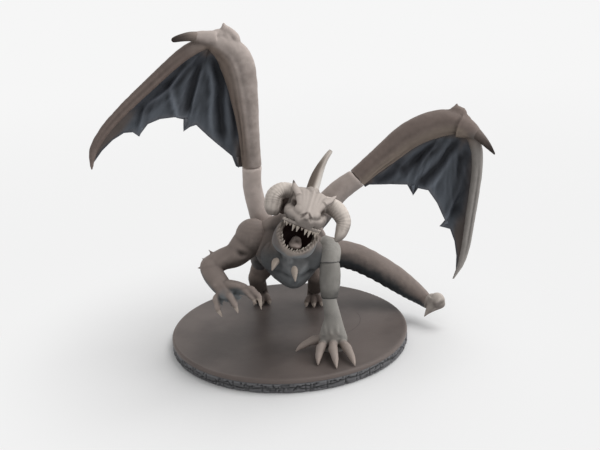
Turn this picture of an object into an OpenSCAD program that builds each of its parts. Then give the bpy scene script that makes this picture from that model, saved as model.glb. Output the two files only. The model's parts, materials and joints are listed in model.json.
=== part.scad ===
// Winged, horned beast on a round display base: a large multi-part gaming miniature.
// Millimetres, +Z up. The origin is the centre of the base's underside, and the beast faces -Y.
// "left" and "right" are the beast's own sides, so its left is at +X.
// Points of the figure are [x, y, height above the base's top face].

/* [Base] */
// Diameter of the round base over its band
base_d = 100; // [90:1:130]
// Height of the base from its underside to its top face
base_t = 5.6; // [4.6:0.1:8]
// Thickness of the top plate that overhangs the band
plate_t = 1.5; // [1.2:0.1:2]
// Radius of the rounding on the plate's top edge
lip_r = 0.9; // [0.4:0.1:1]
// Thickness of the decorated band, measured from its outer face inwards
band_t = 2.4; // [1.6:0.1:4]
// Number of carved joints around the band
band_joints = 40; // [12:1:60]
// Depth of each carved joint
joint_depth = 0.5; // [0.2:0.1:0.8]

/* [Locating pins] */
// Diameter of the steel pins in the glued joints
pin_d = 1.4; // [1:0.1:1.6]
// Length of those pins
pin_len = 5.6; // [4:0.2:6]
// Gap around each pin in its drilled hole
pin_clear = 0.05; // [0.03:0.01:0.1]
// Depth of glue space past the end of each pin
glue_space = 0.2; // [0.1:0.1:0.4]

/* [Turning joints] */
// Diameter of the peg that each wing turns on
wing_peg_d = 3.6; // [3:0.1:4.4]
// Length of each wing peg beyond its seam
wing_peg_len = 8; // [5:0.5:10]
// Diameter of the peg that the head turns on
neck_peg_d = 5; // [4:0.1:6]
// Length of the neck peg beyond its seam
neck_peg_len = 6; // [4:0.5:7]
// Radial running clearance of the turning pegs
peg_clear = 0.06; // [0.03:0.01:0.1]
// Gap between the faces of a turning joint
seam_gap = 0.25; // [0.15:0.05:0.4]

/* [Wings] */
// Thickness of the wing sails
sail_t = 1.2; // [0.9:0.1:2]
// How far each sail is cupped behind its frame
sail_cup = 5; // [2:0.5:8]

/* [Hidden] */

eps = 0.01;
far = 400;
base_r = base_d / 2;
spigot_r = base_r - band_t;
band_h = base_t - plate_t;

// Paint colours
warm_grey = [0.46, 0.42, 0.40];
slate = [0.22, 0.25, 0.29];
bone = [0.66, 0.62, 0.57];
gum = [0.16, 0.10, 0.09];
stone = [0.40, 0.37, 0.35];
steel = [0.70, 0.71, 0.72];

// ---------- vector and curve functions ----------

function unit(v) = v / norm(v);
function xyz(s) = [s[0], s[1], s[2]];
function clamp_index(s, i) = s[max(0, min(len(s) - 1, i))];
function spline(a, b, c, d, t) =
    0.5 * (2 * b + (c - a) * t + (2 * a - 5 * b + 4 * c - d) * t * t + (3 * b - a - 3 * c + d) * t * t * t);
// A smooth run through stations, with steps rings between each pair
function smooth(s, steps) = concat(
    [for (i = [0 : len(s) - 2]) for (k = [0 : steps - 1])
        spline(clamp_index(s, i - 1), s[i], s[i + 1], clamp_index(s, i + 2), k / steps)],
    [s[len(s) - 1]]);
function tangent(r, i) = unit(xyz(clamp_index(r, i + 1)) - xyz(clamp_index(r, i - 1)));

// One ring of a tube around station s: across is s[3], the other way s[4], narrowed below by pinch
function ring(s, t, up, sides, pinch) =
    let (side = unit(cross(t, up)), top = cross(side, t))
    [for (k = [0 : sides - 1])
        let (a = 360 * k / sides, narrow = 1 + pinch * min(0, sin(a)))
        xyz(s) + side * (s[3] * cos(a) * narrow) + top * (s[4] * sin(a))];

// Triangles of a grid of rings, closed by flat ends
function ring_faces(n, m) = concat(
    [for (i = [0 : n - 2]) for (k = [0 : m - 1]) [i * m + k, (i + 1) * m + (k + 1) % m, (i + 1) * m + k]],
    [for (i = [0 : n - 2]) for (k = [0 : m - 1]) [i * m + k, i * m + (k + 1) % m, (i + 1) * m + (k + 1) % m]],
    [[for (k = [m - 1 : -1 : 0]) k]],
    [[for (k = [0 : m - 1]) (n - 1) * m + k]]);

// A closed tube through stations [x, y, z, half width, half height].
// first and last set the end faces' normals where a seam needs them.
module tube(stations, up = [0, 0, 1], sides = 12, steps = 3, pinch = 0, first = undef, last = undef) {
    r = smooth(stations, steps);
    n = len(r);
    points = [for (i = [0 : n - 1])
        let (end = i == 0 ? first : i == n - 1 ? last : undef, t = is_undef(end) ? tangent(r, i) : unit(end))
        each ring(r[i], t, up, sides, pinch)];
    polyhedron(points, ring_faces(n, sides), convexity = 6);
}

// Everything inside comes out as one mesh, for sculpted pieces with no bores in the mesh itself
module sculpted() {
    resize([0, 0, 0]) union() children();
}

// Moves its children from the base's top face to the model's frame
module on_base() {
    translate([0, 0, base_t]) children();
}

// Lays its children's Z axis along dir, from point p
module aim(p, dir) {
    d = unit(dir);
    translate(p) rotate([0, acos(d[2]), atan2(d[1], d[0])]) children();
}

// The half space behind a seam face at p with normal dir
module behind(p, dir) {
    aim(p, dir) translate([-far / 2, -far / 2, -far]) cube(far);
}

// ---------- skeleton ----------

// Head frame: origin between the eyes, roll seen from the front, and pitch above the horizon
head_at = [9.4, -26, 59];
head_roll = 23;
head_pitch = 8;
// Axis that the head turns on, pointing out of the snout
head_axis = [0, -cos(head_pitch), sin(head_pitch)];
neck_seam = head_at - 5.5 * head_axis;

// Places its children, drawn with +X to the beast's left, -Y forward and +Z up, in the head's frame
module in_head() {
    translate(head_at) rotate([-head_pitch, 0, 0]) rotate([0, head_roll, 0]) children();
}

// Seams of the left arm, which stands on the base
left_ring = [17.3, -19, 34.6];
left_ring_axis = [0.02, 0.25, 0.97];
left_cuff = [16.5, -23, 21];
left_cuff_axis = [0.01, 0.2, 0.98];

// Seams of the right arm, which is raised
right_elbow = [-30.2, -14.2, 33.2];
right_elbow_axis = [0.28, 0.68, 0.67];
right_wrist = [-24.6, -21.5, 26.3];
right_wrist_axis = [-0.4, 0.55, 0.73];

// Leg joints
left_hip = [8, 17, 28];
left_knee = [12.5, 9.5, 17.5];
left_ankle = [11, 25, 6];
right_hip = [-6.5, 18, 28];
right_knee = [-13.4, 12, 18];
right_ankle = [-12.4, 29.5, 6];
knee_axis = [0, -0.1, 1];
ankle_axis = [0, -0.6, 0.8];

// Wing seams and the arm's direction at each
right_wing_seam = [-12, 3, 69.6];
right_wing_axis = [0.01, -0.13, 0.99];
left_wing_seam = [31, 9.5, 60.9];
left_wing_axis = [0.77, 0.12, 0.62];

// Tail seams and the tail's direction at each
tail_seam_a = [22.4, 25, 22.9];
tail_seam_a_dir = [0.97, -0.08, -0.22];
tail_seam_b = [39.5, 22.2, 16.4];
tail_seam_b_dir = [0.85, -0.17, -0.5];
tail_seam_c = [60.9, 8, 3.8];
tail_seam_c_dir = [0.55, -0.8, -0.25];

// ---------- locating pins ----------

// Glued joints with a steel pin: [point on the seam, direction]
body_pin_seats = [
    [[17.8, -25.5, 0], [0, 0, 1]],
    [[11, 26.5, 0], [0, 0, 1]],
    [[-12.4, 31, 0], [0, 0, 1]],
    [left_ring, left_ring_axis],
    [left_cuff, left_cuff_axis],
    [right_elbow, right_elbow_axis],
    [right_wrist, right_wrist_axis],
    [left_ankle, ankle_axis],
    [right_ankle, ankle_axis],
    [left_knee, knee_axis],
    [right_knee, knee_axis],
    [tail_seam_a, tail_seam_a_dir],
    [tail_seam_b, tail_seam_b_dir],
    [tail_seam_c, tail_seam_c_dir]
];

module pin(seat, extra_r, extra_len) {
    aim(seat[0], seat[1])
        cylinder(h = pin_len + 2 * extra_len, d = pin_d + 2 * extra_r, center = true, $fn = 24);
}

module body_pins() {
    color(steel) on_base() for (seat = body_pin_seats) pin(seat, 0, 0);
}

// The drilled holes for pins first to last of the table above
module body_pin_holes(numbers) {
    for (i = numbers) pin(body_pin_seats[i], pin_clear, glue_space);
}

// ---------- base ----------

module base_disc() {
    color(stone) difference() {
        rotate_extrude($fn = 128) union() {
            square([spigot_r, base_t]);
            translate([0, band_h]) square([base_r - lip_r - 0.2, plate_t]);
            translate([0, band_h]) square([base_r - 0.2, plate_t - lip_r]);
            intersection() {
                translate([base_r - lip_r - 0.2, base_t - lip_r]) circle(r = lip_r, $fn = 48);
                translate([0, band_h]) square([base_r, plate_t]);
            }
        }
        on_base() body_pin_holes([0, 1, 2]);
    }
}

module base_band() {
    color(stone) difference() {
        cylinder(h = band_h, r = base_r, $fn = 128);
        translate([0, 0, -eps]) cylinder(h = band_h + 2 * eps, r = spigot_r + pin_clear, $fn = 128);
        for (i = [0 : band_joints - 1])
            rotate([0, 0, 360 * (i + 0.5 * (i % 3) / 3) / band_joints])
                translate([base_r - joint_depth, -0.35, band_h * 0.22])
                    cube([2 * joint_depth, 0.7, band_h * 0.6]);
    }
}

// ---------- torso ----------

// Stations from the rump forward to the breast
torso_line = [
    [1.5, 28, 29.5, 3, 3],
    [1, 23, 30, 9, 8],
    [0.5, 15, 31, 11, 10],
    [0.5, 6, 32.5, 11, 10.5],
    [1.5, -3, 35, 14, 13.5],
    [2.5, -10, 36.5, 14.5, 15],
    [3.5, -16, 38, 12, 13],
    [4, -21, 40, 7, 8.5]
];
torso_pinch = 0.42;
// Height of the seam between the belly and back halves
torso_seam_h = 34;

module torso_outside() {
    tube(torso_line, sides = 18, steps = 3, pinch = torso_pinch);
}

// The roots of the neck and wings, let into the back
module tenons() {
    neck_body();
    right_stub_body();
    left_stub_body();
}

module torso_belly() {
    color(warm_grey) on_base() sculpted() difference() {
        torso_outside();
        tenons();
        translate([-far / 2, -far / 2, torso_seam_h]) cube(far);
    }
}

module torso_back() {
    color(warm_grey) on_base() sculpted() difference() {
        torso_outside();
        tenons();
        translate([-far / 2, -far / 2, torso_seam_h - far]) cube(far);
    }
}

// What the arms are cut to fit against
module shoulder_room() {
    torso_outside();
    tenons();
}

// A cone from p to its tip
module spike(p, tip, r) {
    aim(p, tip - p) cylinder(h = norm(tip - p), r1 = r, r2 = 0.25, $fn = 10);
}

module throat_spikes() {
    color(bone) on_base() sculpted() difference() {
        union() {
            spike([-2.6, -17, 40], [-5, -24.6, 34.4], 1.9);
            spike([3.2, -17, 37], [3.7, -25.6, 30.2], 1.7);
        }
        torso_outside();
    }
}

// ---------- neck and head ----------

// The neck, which runs a little past its seam until it's cut there
module neck_body() {
    tube([[4, -11, 43, 7.4, 7.4], [5.6, -14.5, 49, 7.6, 7.6], [8.2, -17.8, 55.8, 6.8, 7],
        concat(neck_seam + 1.5 * head_axis, [6.2, 6.4])], up = [1, 0, 0], sides = 16, last = head_axis);
}

module neck() {
    color(warm_grey) on_base() union() {
        sculpted() intersection() {
            neck_body();
            behind(neck_seam, head_axis);
        }
        aim(neck_seam - eps * head_axis, head_axis) cylinder(h = neck_peg_len, d = neck_peg_d, $fn = 48);
    }
}

// Half-space cut for the back of the skull and jaw, a gap in front of the neck's seam
module behind_head() {
    behind(neck_seam + seam_gap * head_axis, head_axis);
}

module skull_body() {
    in_head() {
        tube([[0, 7, 0.6, 6.4, 5.8], [0, 2.5, 1.1, 7.2, 6.6], [0, -3, 0.5, 7.3, 6], [0, -8.5, -1.8, 6, 4.1],
            [0, -12.5, -3.1, 4.3, 2.9], [0, -15, -3.3, 2.6, 2.1]], sides = 16, steps = 2);
        // brows that end in spikes, cheek flanges, crown spikes and the nose
        for (s = [-1, 1]) {
            tube([[1.8 * s, -10, 1.2, 0.9, 0.8], [5 * s, -6.4, 3.8, 1.5, 1.3], [7.6 * s, -2.4, 6.6, 1.2, 1],
                [9.6 * s, 0, 8.8, 0.25, 0.25]], sides = 8, steps = 2);
            tube([[4.4 * s, -8, -2.4, 1.4, 1.4], [7.6 * s, -3.6, -2.2, 1.5, 1.7],
                [9.6 * s, 1, -2.8, 0.3, 0.3]], sides = 8, steps = 2);
            spike([4 * s, 0.5, 5], [6.2 * s, 1, 11], 1.4);
        }
        tube([[0, -15.4, -2.6, 1.2, 1], [0, -12.4, -0.2, 1.7, 1.4], [0, -7, 2.8, 1.2, 1.1]],
            sides = 8, steps = 2);
    }
}

module skull() {
    color(bone) on_base() difference() {
        sculpted() difference() {
            skull_body();
            behind_head();
            in_head() mouth_hollow();
            horn_body(1, 1.4);
            horn_body(-1, -1);
            crest_body();
        }
        aim(neck_seam, head_axis)
            cylinder(h = neck_peg_len + glue_space, d = neck_peg_d + 2 * peg_clear, $fn = 48);
        in_head() for (seat = head_pin_seats) pin(seat, pin_clear, glue_space);
    }
}

// The space above the palate, in the head's frame
module mouth_hollow() {
    tube([[0, -13.4, -7.6, 2.6, 1.8], [0, -10, -7.4, 4.4, 3], [0, -5.5, -7, 5, 3], [0, -2.5, -6.6, 3, 1.4]],
        sides = 14, steps = 2);
}

module jaw_body() {
    in_head() tube([[0, 4, -6, 6.4, 3.8], [0, -2, -9.6, 8, 4.8], [0, -7, -13, 8.5, 4.6],
        [0, -11.5, -15, 7.1, 3.5], [0, -14.8, -16, 4, 2.1], [0, -16.2, -16.1, 1.4, 0.9]],
        sides = 18, steps = 2);
}

module lower_jaw() {
    color(warm_grey) on_base() sculpted() difference() {
        jaw_body();
        behind_head();
        in_head() jaw_bowl();
        skull_body();
        neck_peg_room();
    }
}

module neck_peg_room() {
    aim(neck_seam, head_axis) cylinder(h = neck_peg_len + 1, d = neck_peg_d + 3, $fn = 24);
}

// The bowl of the lower jaw, in the head's frame
module jaw_bowl() {
    tube([[0, -20, -12, 6.4, 2.6], [0, -14, -12.2, 5.2, 2.6], [0, -10, -11.4, 6.4, 4],
        [0, -5, -8.8, 6.2, 4.4], [0, -1, -5.6, 4.4, 2.6]], sides = 16, steps = 2);
}

// The tongue, which rests just above the bowl of the jaw
module tongue() {
    color(gum) on_base() in_head()
        tube([[0, -3.6, -8.7, 2.1, 1.5], [-0.2, -6.4, -11.1, 2.6, 1.8], [-0.3, -9.2, -12.8, 2.5, 1.8],
            [-0.4, -11.6, -13.3, 0.9, 0.7]], sides = 12);
}

module jaw_body_solid() {
    difference() {
        jaw_body();
        in_head() jaw_bowl();
    }
}

// Teeth along an arc of the lips. side_x and reach are the arc's half width and its forward reach from y0,
// drop its fall towards the front, and dir is 1 for teeth that point up.
module tooth_row(count, side_x, y0, reach, z0, drop, size, dir) {
    for (i = [0 : count - 1]) {
        a = -76 + 152 * i / (count - 1);
        p = [side_x * sin(a), y0 - reach * cos(a), z0 - drop * cos(a)];
        grow = size * (0.8 + 0.4 * (i % 2));
        spike(p - [0, 0, dir * 0.9], p + [-0.1 * sin(a), -0.25, dir * grow], 0.6);
    }
}

module upper_teeth() {
    color(bone) on_base() sculpted() difference() {
        in_head() tooth_row(13, 5.9, -3.2, 10.2, -5.4, 0.1, 2.6, -1);
        skull_solid();
    }
}

module skull_solid() {
    difference() {
        skull_body();
        in_head() mouth_hollow();
    }
}

module lower_teeth() {
    color(bone) on_base() sculpted() difference() {
        in_head() tooth_row(17, 7.3, -4, 10.4, -10.9, 3.5, 1.5, 1);
        jaw_body_solid();
    }
}

// A ram's horn that leaves the skull, turns and curls down.
// side is 1 for the beast's left, and splay moves the tip along X.
module horn_body(side, splay) {
    in_head() tube([[5 * side, 2, 3.2, 3, 2.8], [8.8 * side, 1.6, 4, 2.8, 2.7],
        [12.2 * side, 0.4, 3, 2.9, 2.8], [14 * side + 0.5 * splay, -1, -0.2, 2.7, 2.7],
        [13.8 * side + splay, -2.6, -3.6, 2.1, 2.2],
        [13.4 * side + 1.2 * splay, -4, -7, 0.9, 0.9]], up = [0, 1, 0], sides = 12, steps = 2);
}

module crest_body() {
    in_head() tube([[-0.6, 0, 5.6, 3.2, 2.6], [-0.7, 2.5, 11.5, 2.8, 2.4], [-0.5, 4.8, 15.5, 2.3, 2],
        [0.3, 7, 20, 1.2, 1.2], [1.4, 8.2, 23.4, 0.35, 0.35]], up = [0, 1, 0], sides = 10, steps = 2);
}

module horn(side, splay, seat) {
    difference() {
        horn_body(side, splay);
        in_head() pin(head_pin_seats[seat], pin_clear, glue_space);
    }
}

module left_horn() {
    color(bone) on_base() horn(1, 1.4, 0);
}

module right_horn() {
    color(bone) on_base() horn(-1, -1, 1);
}

module crest_horn() {
    color(bone) on_base() difference() {
        crest_body();
        in_head() pin(head_pin_seats[2], pin_clear, glue_space);
    }
}

// Pins that hold the horns and the crest, in the head's frame
head_pin_seats = [
    [[7.4, 1.8, 3.8], [1, 0, 0.1]],
    [[-7.4, 1.8, 3.8], [-1, 0, 0.1]],
    [[-0.6, 1, 8], [0, 0.35, 0.94]]
];

module head_pins() {
    color(steel) on_base() in_head() for (seat = head_pin_seats) pin(seat, 0, 0);
}

// ---------- arms ----------

module left_arm_top() {
    tube([[9, -6, 38, 6.5, 7], [14.5, -9.5, 38.6, 6.2, 6.6], [17.6, -14.4, 38.4, 5, 5.2],
        concat(left_ring, [4.1, 4.1])], up = [0, 1, 0.3], sides = 14, last = -left_ring_axis);
}

module left_upper_arm() {
    color(warm_grey) on_base() difference() {
        sculpted() difference() {
            left_arm_top();
            shoulder_room();
        }
        body_pin_holes([3]);
    }
}

module left_elbow_sleeve() {
    color(warm_grey) on_base() difference() {
        tube([concat(left_ring, [3.9, 3.9]), [17.3, -20.6, 29.5, 4.2, 4.2], [17, -22, 25, 3.9, 3.9],
            concat(left_cuff, [3.2, 3.2])], up = [0, 1, 0], sides = 14,
            first = -left_ring_axis, last = -left_cuff_axis);
        body_pin_holes([3, 4]);
    }
}

// A clawed digit through knuckle points to its tip
module digit(root, knuckle, mid, tip, r) {
    tube([concat(root, [r, r]), concat(knuckle, [r, r]), concat(mid, [r * 0.68, r * 0.68]),
        concat(tip, [0.22, 0.22])], up = [0.3, 0.2, 1], sides = 8, steps = 2);
}

module above_plate() {
    translate([-far / 2, -far / 2, -far]) cube(far);
}

module left_forearm_hand() {
    color(warm_grey) on_base() difference() {
        sculpted() difference() {
            union() {
                tube([concat(left_cuff, [2.7, 2.7]), [16.6, -24, 12.9, 3.2, 3], [16.5, -24.8, 7.2, 4, 3.2],
                    [16.7, -25.4, 3.6, 4.7, 3.4], [17, -26, -0.5, 4, 3]],
                    up = [0, 1, 0], sides = 12, first = -left_cuff_axis);
                digit([14, -26.6, 2.6], [12.2, -31.4, 3], [11.2, -35.8, 2], [10.9, -38.9, 0.25], 2);
                digit([16.6, -27.4, 2.8], [16.4, -33.4, 3.2], [17.4, -38.8, 2.2], [17.9, -42.8, 0.25], 2);
                digit([19.2, -26.8, 2.6], [21.2, -32.4, 3], [22.8, -37.4, 2.1], [23.9, -41.5, 0.25], 2);
                digit([14.6, -25, 2.8], [9.6, -24.8, 3], [5.4, -25.4, 2.4], [2.1, -26.2, 0.3], 2);
            }
            above_plate();
        }
        body_pin_holes([0, 4]);
    }
}

module right_arm_top() {
    tube([[-5, -4, 40, 6, 6.4], [-10.8, -6.4, 42, 6.9, 7], [-14.8, -8.4, 40.8, 6.2, 6.3],
        [-20, -10.4, 37, 4.7, 4.7], [-25.4, -12, 35.4, 4, 4], concat(right_elbow, [4.3, 4.3])],
        up = [0, 0, 1], sides = 14, steps = 2, last = -right_elbow_axis);
    spike([-26, -12, 35.4], [-33.4, -9.6, 36.6], 1.3);
    spike([-23.6, -11.6, 37], [-28.4, -9.4, 41.2], 1.2);
}

module right_upper_arm() {
    color(warm_grey) on_base() difference() {
        sculpted() difference() {
            right_arm_top();
            shoulder_room();
            behind(right_elbow, right_elbow_axis);
        }
        body_pin_holes([5]);
    }
}

module right_forearm_body() {
    tube([concat(right_elbow, [4.3, 4.3]), [-28.7, -17, 30.6, 4.3, 4], [-26.5, -19.6, 28.2, 4.2, 3.7],
        concat(right_wrist, [4, 3.1])], up = [0, 0, 1], sides = 14, steps = 2,
        first = -right_elbow_axis, last = -right_wrist_axis);
}

module right_forearm() {
    color(warm_grey) on_base() difference() {
        sculpted() intersection() {
            right_forearm_body();
            behind(right_elbow, right_elbow_axis);
        }
        body_pin_holes([5, 6]);
    }
}

module right_hand() {
    color(warm_grey) on_base() difference() {
        sculpted() intersection() {
            union() {
                tube([concat(right_wrist + 0.8 * unit(right_wrist_axis), [4, 3]),
                    [-22.6, -23.4, 25.4, 4.8, 2.4], [-20.4, -25, 24.9, 4.2, 1.8]],
                    up = [0, 1, 0.4], sides = 12, first = -right_wrist_axis);
                digit([-25.4, -23, 26], [-27.6, -25.8, 24], [-27, -28.2, 20.6], [-25.3, -29, 17.2], 1.6);
                digit([-22.4, -24, 25.8], [-21.8, -27.4, 25.2], [-19.9, -30.2, 22.4], [-18.8, -31, 19.2],
                    1.6);
                digit([-20.2, -23.8, 26], [-15.6, -26, 26.6], [-13, -28.2, 24.4], [-11.8, -28.6, 22], 1.6);
                digit([-19.9, -23.7, 26.3], [-13.9, -25.6, 27.3], [-10.6, -28.5, 25.2], [-10, -30, 20], 1.7);
            }
            behind(right_wrist, right_wrist_axis);
        }
        body_pin_holes([6]);
    }
}

// ---------- legs ----------

module thigh_body(hip, knee) {
    tube([concat(hip + [0, 2, 2], [5, 5.8]), concat(0.55 * hip + 0.45 * knee, [4.8, 5.4]),
        concat(knee, [3.8, 3.8])], up = [0, 1, 0], sides = 12, last = -knee_axis);
}

module shin_body(knee, ankle) {
    tube([concat(knee, [3.8, 3.8]), concat(0.7 * knee + 0.3 * ankle + [0, -1.5, -1.5], [3.6, 3.6]),
        concat(0.35 * knee + 0.65 * ankle, [2.9, 2.9]), concat(ankle, [2.5, 2.5])],
        up = [1, 0, 0], sides = 12, first = -knee_axis, last = -ankle_axis);
}

module thigh(hip, knee, ankle, hole) {
    color(warm_grey) on_base() difference() {
        sculpted() difference() {
            thigh_body(hip, knee);
            torso_outside();
            tail_root_body();
            shin_body(knee, ankle);
        }
        body_pin_holes([hole]);
    }
}

module shin(knee, ankle, holes) {
    color(warm_grey) on_base() difference() {
        shin_body(knee, ankle);
        body_pin_holes(holes);
    }
}

// A three-toed foot ahead of the ankle
module foot(ankle, holes) {
    color(warm_grey) on_base() difference() {
        sculpted() difference() {
            union() {
                tube([concat(ankle, [2.5, 2.5]), concat(ankle + [0, 0.8, -3], [2.9, 2.9]),
                    concat(ankle + [0, 0.6, -6.4], [3.1, 3.1])],
                    up = [1, 0, 0], sides = 12, first = -ankle_axis);
                for (s = [-1, 0, 1])
                    digit(ankle + [0.8 * s, 0, -3.8], ankle + [2 * s, -3 + 0.4 * abs(s), -3.4],
                        ankle + [3.2 * s, -6 + 0.8 * abs(s), -4.4],
                        ankle + [3.6 * s, -8.4 + abs(s), -5.8], 1.7);
            }
            above_plate();
        }
        body_pin_holes(holes);
    }
}

module left_thigh() { thigh(left_hip, left_knee, left_ankle, 9); }
module left_shin() { shin(left_knee, left_ankle, [9, 7]); }
module left_foot() { foot(left_ankle, [7, 1]); }
module right_thigh() { thigh(right_hip, right_knee, right_ankle, 10); }
module right_shin() { shin(right_knee, right_ankle, [10, 8]); }
module right_foot() { foot(right_ankle, [8, 2]); }

// ---------- tail ----------

module tail_root_body() {
    tube([[2, 19, 27, 6.4, 6.4], [8, 25, 26.4, 7, 7], [15, 26.4, 24.6, 6.7, 6.7],
        concat(tail_seam_a, [6.1, 6.1])], sides = 14, last = tail_seam_a_dir);
}

module tail_root() {
    color(warm_grey) on_base() difference() {
        sculpted() difference() {
            tail_root_body();
            torso_outside();
        }
        body_pin_holes([11]);
    }
}

module tail_middle() {
    color(warm_grey) on_base() difference() {
        tube([concat(tail_seam_a, [6.1, 6.1]), [30.8, 24.2, 20.6, 6, 6], concat(tail_seam_b, [5.8, 5.8])],
            sides = 14, first = tail_seam_a_dir, last = tail_seam_b_dir);
        body_pin_holes([11, 12]);
    }
}

module tail_end_body() {
    tube([concat(tail_seam_b, [5.8, 5.8]), [48.1, 19.5, 11.2, 5.4, 5.4], [54.2, 15.8, 7.5, 4.6, 4.6],
        [58.3, 11.8, 5.2, 3.6, 3.6], concat(tail_seam_c, [2.7, 2.7])], sides = 14, steps = 2,
        first = tail_seam_b_dir, last = tail_seam_c_dir);
}

module tail_end() {
    color(warm_grey) on_base() difference() {
        tail_end_body();
        body_pin_holes([12, 13]);
    }
}

// A broad two-pointed blade that closes the tail
module tail_barb() {
    color(bone) on_base() difference() {
        sculpted() difference() {
            union() {
                tube([concat(tail_seam_c, [2.7, 2.7]), [62.6, 6.2, 5.6, 3.2, 4], [65.2, 4.6, 6.8, 2.6, 3.6],
                    [67.4, 3.8, 7, 0.8, 1.8]], sides = 10, first = tail_seam_c_dir);
                tube([[63.4, 5.4, 7, 2.6, 1.8], [61, 5, 3.4, 1.8, 1.2], [58.1, 4, -0.9, 0.25, 0.25]],
                    up = [0, 1, 0], sides = 8);
                tube([[65, 5, 8, 2.4, 1.8], [66.6, 4.4, 5, 1.4, 1], [66.8, 4, 2.6, 0.3, 0.3]],
                    up = [0, 1, 0], sides = 8);
            }
            tail_end_body();
        }
        body_pin_holes([13]);
    }
}

// ---------- wings ----------

// Each wing: stations of the stub, arm, finger and thumb claw, then its knuckle spikes and trailing edge
right_stub_line = [[-4, 3, 40.6, 4.6, 4.6], [-8.2, 1.4, 45, 4.7, 4.7], [-11, 3.2, 53.1, 4.1, 4.1],
    [-12.4, 4, 61.4, 3.9, 3.9], concat(right_wing_seam, [4, 4])];
right_arm_line = [concat(right_wing_seam, [4, 4]), [-12.4, 1.5, 80.6, 4.2, 4.2], [-13.1, 0, 91, 4.5, 4.3],
    [-14.2, -1.5, 101.1, 4.7, 4.3], [-15.9, -3.5, 110.3, 4.7, 4.3], [-19, -5, 117.9, 4.9, 4.2],
    [-23.5, -6.5, 121.1, 3.6, 3.4], [-26.9, -7.5, 120.8, 2.6, 2.4]];
right_finger_line = [[-26.4, -7.4, 120.4, 2.6, 2.4], [-33.8, -9, 116.9, 2.6, 2.1],
    [-40.7, -11, 111.9, 2.4, 2], [-48.1, -13, 105.8, 2.3, 1.9], [-56.6, -16, 98.7, 2.1, 1.8],
    [-64.3, -19, 91.3, 1.9, 1.6],
    [-69.4, -21.5, 84.1, 1.6, 1.3], [-70.4, -24, 77.1, 0.35, 0.35]];
right_thumb_line = [[-23.4, -7.4, 121.8, 2.1, 2], [-31.2, -11, 122.5, 1.4, 1.3],
    [-37.5, -14, 122.3, 0.3, 0.3]];
right_knuckles = [[[-18.3, -5, 120], [-18.7, -5, 127.2], 3], [[-15.6, -4.4, 116], [-15, -4.5, 123.6], 2.6]];
right_edge = [[-15.6, 2.6, 68.2], [-18.4, 2, 70.1], [-19.6, 1, 74.5], [-24.1, 0, 79], [-28.4, -1, 83.5],
    [-32.6, -2.5, 88.4], [-34.9, -3.5, 87.9], [-37.3, -4.5, 86.6], [-36.4, -4.6, 91], [-39.7, -6, 92.5],
    [-45.6, -8, 92.3], [-50.1, -10, 90.9], [-53.6, -12, 86.8], [-55.5, -13, 88.6], [-58.7, -14.5, 88.7],
    [-62.6, -17, 86.7], [-66.5, -20, 83.3], [-69.2, -22.6, 79.8]];

left_stub_line = [[9, 5, 40.6, 4.6, 4.6], [16, 4, 44.4, 4.7, 4.7], [22, 6, 52, 4.5, 4.5],
    [26.5, 8, 57.2, 4.3, 4.3], concat(left_wing_seam, [4.2, 4.2])];
left_arm_line = [concat(left_wing_seam, [4.2, 4.2]), [37.4, 10, 66, 4.4, 4.4], [44.2, 10.5, 71.1, 5, 4.8],
    [50.9, 10.5, 76.3, 5.5, 5], [57.4, 10, 80, 5.7, 5.1], [64.3, 9.5, 82.1, 5.7, 5],
    [70.7, 8.5, 82.6, 5, 4.8], [75.7, 7, 80.4, 3.8, 3.8], [77.4, 6.2, 77.6, 2.8, 2.8]];
left_finger_line = [[78, 6, 78.4, 2.8, 2.6], [79.8, 4.5, 70.8, 2.4, 2.3], [79.5, 2.5, 62.9, 2.2, 2.1],
    [77.9, 0, 53.9, 2.1, 2], [75.8, -3, 44.2, 2, 1.9], [73.5, -7, 34.9, 1.8, 1.7], [71, -10, 28.3, 1.3, 1.2],
    [67.4, -12, 22.3, 0.35, 0.35]];
left_thumb_line = [[75.6, 6, 80.6, 2.6, 2.6], [79.9, 3.5, 78, 2, 2], [83.1, 1.5, 74.5, 1.3, 1.3],
    [86.1, 0, 70.4, 0.3, 0.3]];
left_knuckles = [[[70.6, 8.6, 83], [72.3, 9, 90.4], 3], [[73, 8, 82.4], [75.4, 8.3, 88.6], 2.4]];
left_edge = [[33.6, 9.4, 56.6], [36, 9, 58], [40.5, 8.5, 57.9], [46.2, 7.5, 58.1], [51.5, 6.5, 57.9],
    [53.8, 5.5, 53.6], [55.8, 5, 56.4], [59.8, 4, 55.8], [63.3, 2.5, 50.5], [66.3, 0.5, 43.2],
    [64, -0.5, 41.5], [68, -1.5, 40.3], [69.4, -4, 35.8], [69.6, -7.5, 30.5], [68.8, -10.6, 26]];

module stub_body(line, axis) {
    tube(line, up = [0, 1, 0], sides = 14, steps = 2, last = axis);
}

module right_stub_body() { stub_body(right_stub_line, right_wing_axis); }
module left_stub_body() { stub_body(left_stub_line, left_wing_axis); }

// The stub that the torso holds, with the peg that the wing turns on
module wing_stub(seam, axis) {
    color(warm_grey) on_base() union() {
        children();
        aim(seam - eps * axis, axis) cylinder(h = wing_peg_len, d = wing_peg_d, $fn = 48);
    }
}

module right_wing_stub() { wing_stub(right_wing_seam, right_wing_axis) right_stub_body(); }
module left_wing_stub() { wing_stub(left_wing_seam, left_wing_axis) left_stub_body(); }

module wing_arm_body(line, axis, knuckles) {
    tube(line, up = [0, 1, 0], sides = 14, steps = 2, first = axis);
    for (k = knuckles) spike(k[0], k[1], k[2]);
}

module wing_arm(line, seam, axis, knuckles) {
    color(warm_grey) on_base() difference() {
        sculpted() difference() {
            wing_arm_body(line, axis, knuckles);
            behind(seam + seam_gap * unit(axis), axis);
        }
        aim(seam, axis) cylinder(h = wing_peg_len + glue_space, d = wing_peg_d + 2 * peg_clear, $fn = 48);
    }
}

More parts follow.
